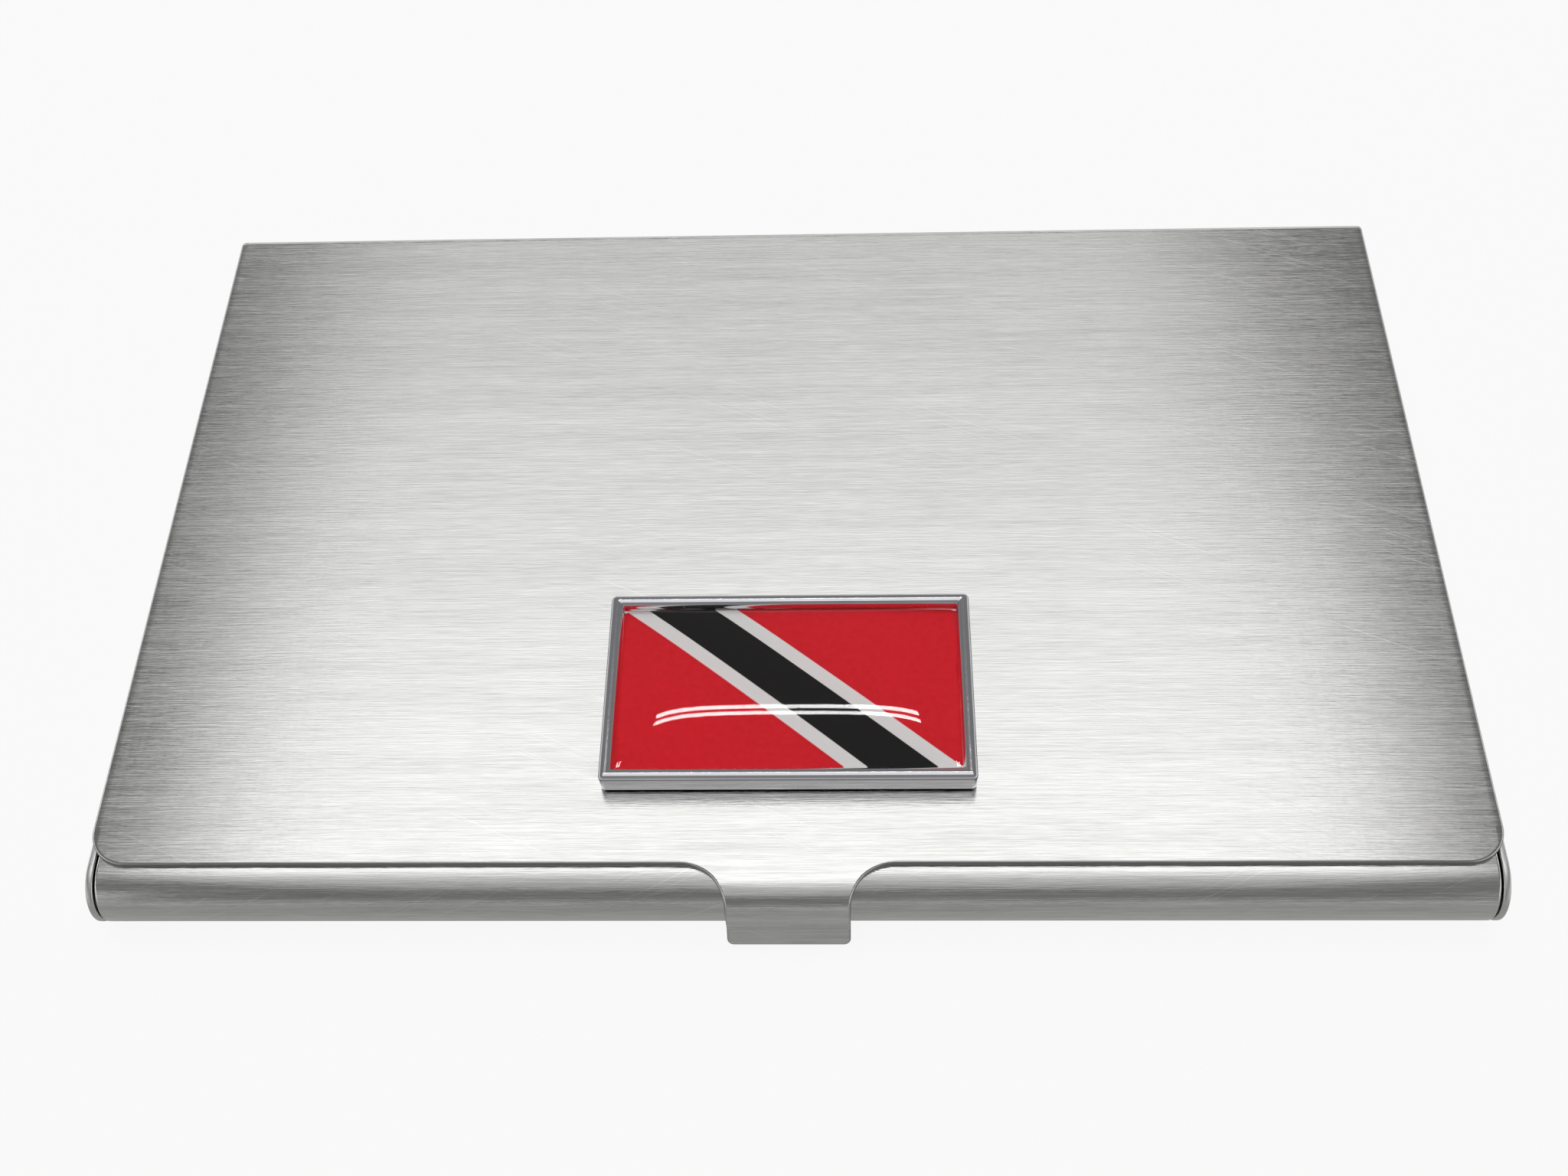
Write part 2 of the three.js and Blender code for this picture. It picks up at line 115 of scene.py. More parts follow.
@dataclass(frozen=True)
class Wire:
    """A number socket of a node that can be used in Python arithmetic."""

    book: "NodeBook"
    socket: bpy.types.NodeSocket

    def _math(self, operation: str, *values: object) -> "Wire":
        """Adds one Math node over this wire and the given values.

        Args:
            operation: name of the Math node's operation.
            values: what goes in its sockets, in order; a Wire or a number each.

        Returns:
            The node's result.
        """
        node = self.book.add(NodeType.MATH, {"operation": operation}, dict(enumerate(values)))
        return Wire(self.book, node.outputs[0])

    def __add__(self, other: object) -> "Wire":
        """This wire plus another value."""
        return self._math("ADD", self, other)

    def __radd__(self, other: object) -> "Wire":
        """A number plus this wire."""
        return self._math("ADD", other, self)

    def __sub__(self, other: object) -> "Wire":
        """This wire minus another value."""
        return self._math("SUBTRACT", self, other)

    def __rsub__(self, other: object) -> "Wire":
        """A number minus this wire."""
        return self._math("SUBTRACT", other, self)

    def __mul__(self, other: object) -> "Wire":
        """This wire times another value."""
        return self._math("MULTIPLY", self, other)

    def __rmul__(self, other: object) -> "Wire":
        """A number times this wire."""
        return self._math("MULTIPLY", other, self)

    def __truediv__(self, other: object) -> "Wire":
        """This wire divided by another value."""
        return self._math("DIVIDE", self, other)

    def cosh(self) -> "Wire":
        """Hyperbolic cosine."""
        return self._math("COSH", self)

    def size(self) -> "Wire":
        """Absolute value."""
        return self._math("ABSOLUTE", self)

    def below(self, limit: object, softness: float) -> "Wire":
        """One where the wire lies under a limit, falling to zero over a soft edge.

        Args:
            limit: the value at which the result is a half.
            softness: width of the change.

        Returns:
            A mask from 0 to 1.
        """
        return ((limit - self) / softness + 0.5).clamped()

    def clamped(self) -> "Wire":
        """The wire held between 0 and 1."""
        return self._math("MAXIMUM", self._math("MINIMUM", self, 1.0), 0.0)


class NodeBook:
    """Writes nodes into one node tree from plain settings and inputs."""

    def __init__(self, tree: bpy.types.NodeTree) -> None:
        """Starts on a tree.

        Args:
            tree: the node tree to add to.
        """
        self.tree = tree

    def add(
        self,
        kind: NodeType,
        settings: dict[str, object] | None = None,
        inputs: dict[object, object] | None = None,
    ) -> bpy.types.Node:
        """Adds a node.

        Args:
            kind: the node's type.
            settings: properties set first, such as a Math node's operation.
            inputs: sockets by name or number, each a value, a Wire or a socket to link.

        Returns:
            The new node.
        """
        node = self.tree.nodes.new(kind.value)
        for name, value in (settings or {}).items():
            setattr(node, name, value)
        for key, value in (inputs or {}).items():
            if isinstance(value, Wire):
                value = value.socket
            if isinstance(value, bpy.types.NodeSocket):
                self.link(value, node, key)
            else:
                node.inputs[key].default_value = value
        return node

    def parts(self, place: bpy.types.NodeSocket) -> tuple["Wire", "Wire", "Wire"]:
        """The three components of a vector socket."""
        split = self.add(NodeType.SEPARATE, inputs={0: place})
        return self.wire(split, 0), self.wire(split, 1), self.wire(split, 2)

    def vector(self, x: object = 0.0, y: object = 0.0, z: object = 0.0) -> bpy.types.NodeSocket:
        """A vector socket from three components, each a Wire or a number."""
        return self.add(NodeType.COMBINE, inputs={0: x, 1: y, 2: z}).outputs[0]

    def link(self, source: bpy.types.NodeSocket, node: bpy.types.Node, key: object = 0) -> None:
        """Links a socket to an input of a node."""
        self.tree.links.new(source, node.inputs[key])

    def wire(self, node: bpy.types.Node, output: object = 0) -> Wire:
        """The chosen output of a node as a Wire."""
        return Wire(self, node.outputs[output])

    def noise(
        self, place: bpy.types.NodeSocket, per_metre: Sequence[float], detail: float = 2.0
    ) -> Wire:
        """Noise stretched along the axes of a place.

        Args:
            place: vector socket, in metres.
            per_metre: grains to a metre along each axis.
            detail: octaves.

        Returns:
            The noise, around one half.
        """
        scaled = self.add(
            NodeType.VECTOR_MATH, {"operation": "MULTIPLY"}, {0: place, 1: tuple(per_metre)}
        )
        inputs = {"Vector": scaled.outputs[0], "Scale": 1.0, "Detail": detail}
        return self.wire(self.add(NodeType.NOISE, inputs=inputs))

    def blend(self, share: Wire, a: object, b: object) -> bpy.types.NodeSocket:
        """Mixes two colours.

        Args:
            share: how much of the second colour shows.
            a: first colour, as numbers or a socket.
            b: second colour, as numbers or a socket.

        Returns:
            The mixed colour's socket.
        """
        mix = self.add(NodeType.MIX, {"data_type": "RGBA"}, {0: share, 6: a, 7: b})
        return mix.outputs[2]

    def relief(self, height: Wire, depth: float, strength: float = 1.0) -> bpy.types.NodeSocket:
        """Turns a height between 0 and 1 into a bumped normal.

        Args:
            height: the relief.
            depth: its real depth in metres.
            strength: share of the bump that shows.

        Returns:
            The normal's socket.
        """
        inputs = {"Height": height, "Distance": depth, "Strength": strength}
        return self.add(NodeType.BUMP, inputs=inputs).outputs[0]

    def principled(self, inputs: dict[object, object]) -> bpy.types.NodeSocket:
        """A Principled surface with the given inputs."""
        return self.add(NodeType.PRINCIPLED, inputs=inputs).outputs[0]

    def crossed(self, share: Wire, a: object, b: object) -> bpy.types.NodeSocket:
        """Mixes two surfaces by the share of the second."""
        return self.add(NodeType.MIX_SHADER, inputs={0: share, 1: a, 2: b}).outputs[0]


# ---- Finishes ----------------------------------------------------------------------------------


@dataclass(frozen=True)
class Finish:
    """Base of every finish: a named material on one Principled surface."""

    name: str

    def material(self) -> bpy.types.Material:
        """Makes the material.

        Returns:
            The finished material.
        """
        made = bpy.data.materials.new(self.name)
        made.use_nodes = True
        tree = made.node_tree
        tree.nodes.clear()
        book = NodeBook(tree)
        book.link(self.surface(book), book.add(NodeType.MATERIAL_OUTPUT), "Surface")
        return made

    def surface(self, book: NodeBook) -> bpy.types.NodeSocket:
        """Writes the surface; each finish has its own.

        Args:
            book: the material's tree.

        Returns:
            The surface's socket.
        """
        raise NotImplementedError

    @staticmethod
    def object_place(book: NodeBook) -> bpy.types.NodeSocket:
        """Place on the object, in metres."""
        return book.add(NodeType.COORDINATES).outputs["Object"]


@dataclass(frozen=True)
class BrushedSteel(Finish):
    """Steel sheet brushed across the width of its blank before it was folded."""

    dark: Colour = (0.46, 0.46, 0.445, 1)
    light: Colour = (0.74, 0.74, 0.73, 1)
    scratched: Colour = (0.85, 0.85, 0.85, 1)
    # painted shade: colour laid on the rounded sheet edges, darker than the faces, standing in for
    # the shaded edge line and the gap beside it
    painted_edge_shade: Colour = (0.26, 0.26, 0.27, 1)
    fine_grain: Point3 = (500, 19000, 0)
    middle_grain: Point3 = (140, 7600, 0)
    broad_grain: Point3 = (24, 650, 0)
    cloud_grain: Point3 = (55, 70, 0)
    scratch_grain: Point3 = (60, 9000, 0)
    scratch_turn: float = math.radians(24)
    roughness: float = 0.125
    line_depth: float = 0.014 * MM
    sheet: float = 0.5 * MM

    def surface(self, book: NodeBook) -> bpy.types.NodeSocket:
        """Brush lines in three widths, faint handling marks, cross scratches, and cut edges painted
        dark as shade.

        Args:
            book: the material's tree.

        Returns:
            The surface's socket.
        """
        place = book.add(
            NodeType.ATTRIBUTE, {"attribute_name": BLANK_PLACE, "attribute_type": "GEOMETRY"}
        ).outputs["Vector"]
        fine = book.noise(place, self.fine_grain)
        middle = book.noise(place, self.middle_grain)
        broad = book.noise(place, self.broad_grain)
        clouds = book.noise(place, self.cloud_grain, 3.0) - 0.5
        lines = fine * 0.4 + middle * 0.4 + broad * 0.2 - 0.5
        turned = book.add(
            NodeType.MAPPING, inputs={"Vector": place, "Rotation": (0, 0, self.scratch_turn)}
        )
        scratches = 1.0 - book.noise(turned.outputs[0], self.scratch_grain, 0.0).below(0.77, 0.03)
        tone = (lines * 2.6 + clouds * 0.25 + 0.5).clamped()
        brushed = book.blend(tone, self.dark, self.light)
        marked = book.blend(scratches * 0.25, brushed, self.scratched)
        # painted shade mask: one on the rounded sheet edges, where the dark edge colour is laid
        # (they are also made rougher)
        off_middle = book.parts(place)[2].size()
        edge = ((1.0 - off_middle / (self.sheet / 2)) * 2.5).clamped()
        rough = self.roughness + lines * 0.3 + clouds * 0.08 + edge * 0.2
        height = fine * 0.6 + middle * 0.3 + scratches * 0.1
        return book.principled(
            {
                "Base Color": book.blend(edge, marked, self.painted_edge_shade),
                "Metallic": 1.0,
                "Roughness": rough.clamped(),
                "Normal": book.relief(height, self.line_depth),
            }
        )


@dataclass(frozen=True)
class TurnedSteel(Finish):
    """Drawn rivet wire, a little darker than the sheet."""

    dark: Colour = (0.40, 0.40, 0.40, 1)
    light: Colour = (0.62, 0.62, 0.61, 1)
    grains: float = 9000

    def surface(self, book: NodeBook) -> bpy.types.NodeSocket:
        """Fine-grained steel.

        Args:
            book: the material's tree.

        Returns:
            The surface's socket.
        """
        grain = book.noise(self.object_place(book), (self.grains,) * 3, 3.0)
        return book.principled(
            {
                "Base Color": book.blend(grain, self.dark, self.light),
                "Metallic": 1.0,
                "Roughness": 0.2 + grain * 0.25,
                "Normal": book.relief(grain, 0.003 * MM),
            }
        )


@dataclass(frozen=True)
class Chrome(Finish):
    """Polished plating with the slight waviness of a cast dish."""

    dark: Colour = (0.71, 0.71, 0.74, 1)
    light: Colour = (0.81, 0.81, 0.84, 1)
    ripples: float = 350
    hairlines: float = 6000

    def surface(self, book: NodeBook) -> bpy.types.NodeSocket:
        """Bright mirror with low ripples and hairline polishing marks.

        Args:
            book: the material's tree.

        Returns:
            The surface's socket.
        """
        place = self.object_place(book)
        ripple = book.noise(place, (self.ripples,) * 3)
        polish = book.noise(place, (self.hairlines,) * 3)
        return book.principled(
            {
                "Base Color": book.blend(ripple, self.dark, self.light),
                "Metallic": 1.0,
                "Roughness": 0.05 + polish * 0.10,
                "Normal": book.relief(ripple, 0.03 * MM, 0.6),
            }
        )


@dataclass(frozen=True)
class BandedPrint(Finish):
    """Red printed foil with a white-edged black band from back left to front right."""

    low: Point2 = (0.0, 0.0)
    high: Point2 = (1.0, 1.0)
    slant: float = 0.676  # how far the band moves along the width from back to front
    centre: float = 0.849
    black_half: float = 0.100
    white_half: float = 0.167
    edge_blur: float = 0.004
    red: Colour = (0.66, 0.012, 0.022, 1)
    light_red: Colour = (0.80, 0.022, 0.036, 1)
    white: Colour = (0.83, 0.87, 0.86, 1)
    black: Colour = (0.014, 0.014, 0.014, 1)
    specks: float = 2500

    def surface(self, book: NodeBook) -> bpy.types.NodeSocket:
        """Flat inks with soft print edges and a little mottle.

        Args:
            book: the material's tree.

        Returns:
            The surface's socket.
        """
        place = self.object_place(book)
        x, y, _ = book.parts(place)
        along = (x - self.low[0]) / (self.high[0] - self.low[0])
        back = (y - self.low[1]) / (self.high[1] - self.low[1])
        off = (along + back * self.slant - self.centre).size()
        mottle = book.noise(place, (self.specks,) * 3)
        red = book.blend(mottle, self.red, self.light_red)
        edged = book.blend(off.below(self.white_half, self.edge_blur), red, self.white)
        inked = book.blend(off.below(self.black_half, self.edge_blur), edged, self.black)
        return book.principled(
            {
                "Base Color": inked,
                "Specular IOR Level": 0.0,
                "Roughness": 0.35 + mottle * 0.15,
                "Normal": book.relief(mottle, 0.002 * MM),
            }
        )


@dataclass(frozen=True)
class ClearResin(Finish):
    """Clear poured resin."""

    index: float = 1.45
    tint: Colour = (0.96, 0.97, 0.97, 1)
    clear: Colour = (1.0, 1.0, 1.0, 1)
    swells: float = 260

    def surface(self, book: NodeBook) -> bpy.types.NodeSocket:
        """Smooth clear body with a faint swell, which lets the lamps through to the foil.

        Args:
            book: the material's tree.

        Returns:
            The surface's socket.
        """
        swell = book.noise(self.object_place(book), (self.swells,) * 3, 1.0)
        body = book.principled(
            {
                "Base Color": book.blend(swell, self.tint, self.clear),
                "Roughness": 0.015 + swell * 0.02,
                "IOR": self.index,
                "Transmission Weight": 1.0,
                "Normal": book.relief(swell, 0.0015 * MM),
            }
        )
        through = book.add(NodeType.TRANSPARENT).outputs[0]
        lamp_ray = book.wire(book.add(NodeType.LIGHT_PATH), "Is Shadow Ray")
        return book.crossed(lamp_ray, body, through)


@dataclass(frozen=True)
class FoamTape(Finish):
    """Dark mounting tape."""

    dark: Colour = (0.008, 0.008, 0.009, 1)
    light: Colour = (0.03, 0.03, 0.032, 1)
    cells: float = 7000

    def surface(self, book: NodeBook) -> bpy.types.NodeSocket:
        """Matt, open-celled edge.

        Args:
            book: the material's tree.

        Returns:
            The surface's socket.
        """
        cells = book.noise(self.object_place(book), (self.cells,) * 3, 4.0)
        return book.principled(
            {
                "Base Color": book.blend(cells, self.dark, self.light),
                "Roughness": 0.75 + cells * 0.2,
                "Normal": book.relief(cells, 0.04 * MM),
            }
        )


@dataclass(frozen=True)
class StudioPaper(Finish):
    """White paper sweep that keeps the object's shadow and reads as white to the eye."""

    seen_white: float = 0.9
    mirrored_white: float = 0.75
    # painted shade: a darker patch of floor close before the case, seen only by metal and glass
    shade_patch_loss: float = 0.5
    shade_patch_middle: float = -0.075
    shade_patch_depth: float = 0.055
    shade_patch_width: float = 0.09
    shade_patch_fade: float = 0.03
    dark: Colour = (0.34, 0.34, 0.33, 1)
    light: Colour = (0.38, 0.38, 0.37, 1)
    seen: Colour = (0.9, 0.9, 0.9, 1)
    fibres: float = 900

    def surface(self, book: NodeBook) -> bpy.types.NodeSocket:
        """Matt paper with plain white added, and a patch of painted shade close before the case that
        only metal and glass see.

        Args:
            book: the material's tree.

        Returns:
            The surface's socket.
        """
        place = self.object_place(book)
        x, y, _ = book.parts(place)
        # painted shade patch: less white in reflections of the floor just before the case
        shade_patch_across = x.size().below(self.shade_patch_width, self.shade_patch_fade)
        before = (y - self.shade_patch_middle).size().below(self.shade_patch_depth, self.shade_patch_fade)
        mirrored_white = self.mirrored_white - shade_patch_across * before * self.shade_patch_loss
        path = book.add(NodeType.LIGHT_PATH)
        seen = book.wire(path, "Is Camera Ray")
        mirrored = book.wire(path, "Is Glossy Ray") + book.wire(path, "Is Transmission Ray")
        tooth = book.noise(place, (self.fibres,) * 3, 3.0)
        colour = book.blend(seen, book.blend(tooth, self.dark, self.light), self.seen)
        paper = book.add(NodeType.DIFFUSE, inputs={"Color": colour}).outputs[0]
        white = book.add(NodeType.EMISSION, inputs={"Color": (1, 1, 1, 1), "Strength": 1.0})
        share = seen * self.seen_white + mirrored.clamped() * mirrored_white
        return book.crossed(share, paper, white.outputs[0])


# ---- Outlines and folded sheet -----------------------------------------------------------------


def arc(centre: Point2, radius: float, start: float, end: float, count: int) -> list[Point2]:
    """Points along an arc, both ends in.

    Args:
        centre: centre of the arc.
        radius: its radius.
        start: first angle in radians.
        end: last angle in radians; a smaller one turns clockwise.
        count: number of steps.

    Returns:
        The points in order.
    """
    angles = [start + (end - start) * i / count for i in range(count + 1)]
    return [(centre[0] + radius * math.cos(a), centre[1] + radius * math.sin(a)) for a in angles]


def mirrored(right: list[Point2]) -> list[Point2]:
    """Closes a right half with its mirror image."""
    return right + [(-x, y) for x, y in reversed(right)]


def both_sides(values: list[float]) -> list[float]:
    """Values and their negatives."""
    return [*values, *(-x for x in values)]


def spaced(low: float, high: float, count: int) -> list[float]:
    """Even values from low to high, both ends in."""
    return [low + (high - low) * i / count for i in range(count + 1)]


def finished(name: str, mesh: bpy.types.Mesh, material: bpy.types.Material) -> bpy.types.Object:
    """Links a mesh as a piece at the origin with one material.

    Args:
        name: the piece's name.
        mesh: its mesh, in place.
        material: its finish.

    Returns:
        The new object.
    """
    mesh.name = name
    mesh.materials.clear()
    mesh.materials.append(material)
    piece = bpy.data.objects.new(name, mesh)
    bpy.context.scene.collection.objects.link(piece)
    return piece


def baked_mesh(source: bpy.types.Object) -> bpy.types.Mesh:
    """Plain mesh of an object with its modifiers in, after which the object is removed.

    Args:
        source: a curve or mesh object with its modifiers.

    Returns:
        The evaluated mesh.
    """
    graph = bpy.context.evaluated_depsgraph_get()
    graph.update()
    mesh = bpy.data.meshes.new_from_object(
        source.evaluated_get(graph), preserve_all_data_layers=True, depsgraph=graph
    )
    bpy.data.objects.remove(source)
    return mesh


def with_face_weighted_normals(mesh: bpy.types.Mesh) -> bpy.types.Mesh:
    """Smooths a mesh so that its flat faces stay flat and its round edges stay round.

    Args:
        mesh: the mesh.

    Returns:
        The same shape as a new mesh.
    """
    mesh.shade_smooth()
    holder = bpy.data.objects.new("weighting", mesh)
    bpy.context.scene.collection.objects.link(holder)
    weighting = holder.modifiers.new("weighting", "WEIGHTED_NORMAL")
    weighting.mode = "FACE_AREA"
    weighting.keep_sharp = False
    return baked_mesh(holder)


class ShapeTree:
    """Geometry node tree with named sizes, worked out on an object of its own."""

    def __init__(self, name: str, sizes: dict[str, float]) -> None:
        """Starts the tree.

        Args:
            name: the tree's name.
            sizes: its named inputs and their values.
        """
        self.sizes = sizes
        self.tree = bpy.data.node_groups.new(name, "GeometryNodeTree")
        sockets = self.tree.interface
        for size in sizes:
            sockets.new_socket(size, in_out="INPUT", socket_type="NodeSocketFloat")
        sockets.new_socket("Mesh", in_out="OUTPUT", socket_type="NodeSocketGeometry")
        self.book = NodeBook(self.tree)
        given = self.book.add(NodeType.GROUP_INPUT)
        self.given = [self.book.wire(given, size) for size in sizes]

    def joined(self, *parts: bpy.types.NodeSocket) -> bpy.types.NodeSocket:
        """Joins geometries.

        Args:
            parts: their sockets.

        Returns:
            The joined geometry's socket.
        """
        joint = self.book.add(NodeType.JOIN)
        for part in parts:
            self.book.link(part, joint)
        return joint.outputs[0]

    def holder(
        self, geometry: bpy.types.NodeSocket, material: bpy.types.Material
    ) -> bpy.types.Object:
        """Ends the tree in real geometry with its material, on an object.

        Args:
            geometry: the finished shape.
            material: its finish.

        Returns:
            The object, with the sizes set on its modifier.
        """
        book = self.book
        real = book.add(NodeType.REALIZE, inputs={0: geometry}).outputs[0]
        dressed = book.add(NodeType.SET_MATERIAL, inputs={0: real, "Material": material})
        book.link(dressed.outputs[0], book.add(NodeType.GROUP_OUTPUT))
        name = self.tree.name
        holder = bpy.data.objects.new(name, bpy.data.meshes.new(name))
        bpy.context.scene.collection.objects.link(holder)
        nodes = holder.modifiers.new(name, "NODES")
        nodes.node_group = self.tree
        for item in sockets_in(self.tree):
            nodes[item.identifier] = self.sizes[item.name]
        return holder


def sockets_in(tree: bpy.types.NodeTree) -> list[bpy.types.NodeTreeInterfaceItem]:
    """The named inputs of a node tree."""
    return [item for item in tree.interface.items_tree if item.in_out == "INPUT"]


@dataclass
class SheetBlank:
    """A flat blank of sheet metal with rounded edges and punched holes, ready to be folded."""

    outline: list[Point2]
    thickness: float
    edge_radius: float
    holes: list[list[Point2]]
    edge_steps: int = 3
    merge: float = 0.0005 * MM

    def flat_mesh(self) -> bpy.types.Mesh:
        """Cuts the blank.

        Returns:
            Its mesh, with the middle plane at height 0.
        """
        curve = bpy.data.curves.new("blank", "CURVE")
        curve.dimensions = "2D"
        curve.fill_mode = "BOTH"
        curve.extrude = self.thickness / 2 - self.edge_radius
        curve.bevel_depth = self.edge_radius
        curve.bevel_resolution = self.edge_steps
        curve.offset = -self.edge_radius
        for loop in [self.outline, *self.holes]:
            spline = curve.splines.new("POLY")
            spline.points.add(len(loop) - 1)
            spline.use_cyclic_u = True
            for point, (x, y) in zip(spline.points, loop):
                point.co = (x, y, 0, 1)
        holder = bpy.data.objects.new("blank", curve)
        bpy.context.scene.collection.objects.link(holder)
        return baked_mesh(holder)

    def folded(
        self,
        fold: Callable[[Vector], Vector],
        across_cuts: Iterable[float],
        along_cuts: Iterable[float],
    ) -> bpy.types.Mesh:
        """Cuts the blank along its bend lines and carries every point through the folds.

        Args:
            fold: takes a point of the blank to its place in the case.
            across_cuts: values of the blank's y at which it bends.
            along_cuts: values of the blank's x at which it bends.

        Returns:
            The folded mesh, which keeps each point's place on the blank as an attribute.
        """
        mesh = self.flat_mesh()
        sheet = bmesh.new()
        sheet.from_mesh(mesh)
        bmesh.ops.remove_doubles(sheet, verts=sheet.verts, dist=self.merge)
        cuts = [(Vector((0, y, 0)), Vector((0, 1, 0))) for y in across_cuts]
        cuts += [(Vector((x, 0, 0)), Vector((1, 0, 0))) for x in along_cuts]
        for place, normal in cuts:
            everything = [*sheet.verts, *sheet.edges, *sheet.faces]
            bmesh.ops.bisect_plane(
                sheet, geom=everything, dist=self.merge, plane_co=place, plane_no=normal
            )
        bmesh.ops.triangulate(sheet, faces=[f for f in sheet.faces if len(f.verts) > 4])
        bmesh.ops.recalc_face_normals(sheet, faces=sheet.faces)
        layer = sheet.verts.layers.float_vector.new(BLANK_PLACE)
        for vertex in sheet.verts:
            vertex[layer] = vertex.co.copy()
            vertex.co = fold(vertex.co)
        sheet.to_mesh(mesh)
        sheet.free()
        return with_face_weighted_normals(mesh)


@dataclass(frozen=True)
class Run:
    """One stretch of a folded strip's middle line: straight, or bent through a turn."""

    length: float
    turn: float = 0.0

    def stations(self, start: float, step: float = math.radians(4)) -> list[float]:
        """Developed lengths at which a bent stretch is cut, its ends in.

        Args:
            start: developed length at which it begins.
            step: largest turn between two cuts.

        Returns:
            The lengths, none for a straight stretch.
        """
        if self.turn == 0:
            return []
        count = max(2, math.ceil(abs(self.turn) / step))
        return spaced(start, start + self.length, count)


@dataclass(frozen=True)
class Strip:
    """A folded middle line in one plane, followed by developed length."""

    start: Point2
    heading: float
    runs: tuple[Run, ...]

    def at(self, distance: float, height: float) -> Point2:
        """Place at a developed length and a height off the middle line.

        Args:
            distance: developed length from the start.
            height: distance to the right of the way the strip runs.

        Returns:
            The point in the strip's plane.
        """
        (u, v), heading, left = self.start, self.heading, distance
        for index, run in enumerate(self.runs):
            last = index == len(self.runs) - 1
            length = left if last or left < run.length else run.length
            turn = run.turn * length / run.length
            chord = length if turn == 0 else length * math.sin(turn / 2) / (turn / 2)
            u += chord * math.cos(heading + turn / 2)
            v += chord * math.sin(heading + turn / 2)
            heading += turn
            left -= length
            if left <= 0:
                break
        return (u + height * math.sin(heading), v - height * math.cos(heading))

    def cuts(self) -> list[float]:
        """Finds where the strip bends.

        Returns:
            The developed lengths.
        """
        found: list[float] = []
        distance = 0.0
        for run in self.runs:
            found += run.stations(distance)
            distance += run.length
        return found


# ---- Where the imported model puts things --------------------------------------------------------


@dataclass(frozen=True)
class Places:
    """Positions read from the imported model."""

    tray_low: Vector
    tray_high: Vector
    lid_back: float
    hinge: Point2

    @classmethod
    def read(cls) -> "Places":
        """Reads the boxes of the tray and lid and the hinge's axis.

        Returns:
            The places.
        """
        axis = frame["joints"][0]["pos_m"]
        return cls(*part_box("base_tray"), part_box("lid_cover")[1].y, (axis[1], axis[2]))

    @property
    def half_width(self) -> float:
        """Half of the case's width."""
        return self.tray_high.x

    @property
    def height(self) -> float:
        """Height of the tray, which the lid's plate lies on."""
        return self.tray_high.z

    @property
    def nose_radius(self) -> float:
        """Outside radius of the tray's rolled front edge."""
        return self.height / 2

    @property
    def nose_y(self) -> float:
        """Centre of the rolled front edge."""
        return self.tray_low.y + self.nose_radius


# ---- Tray --------------------------------------------------------------------------------------


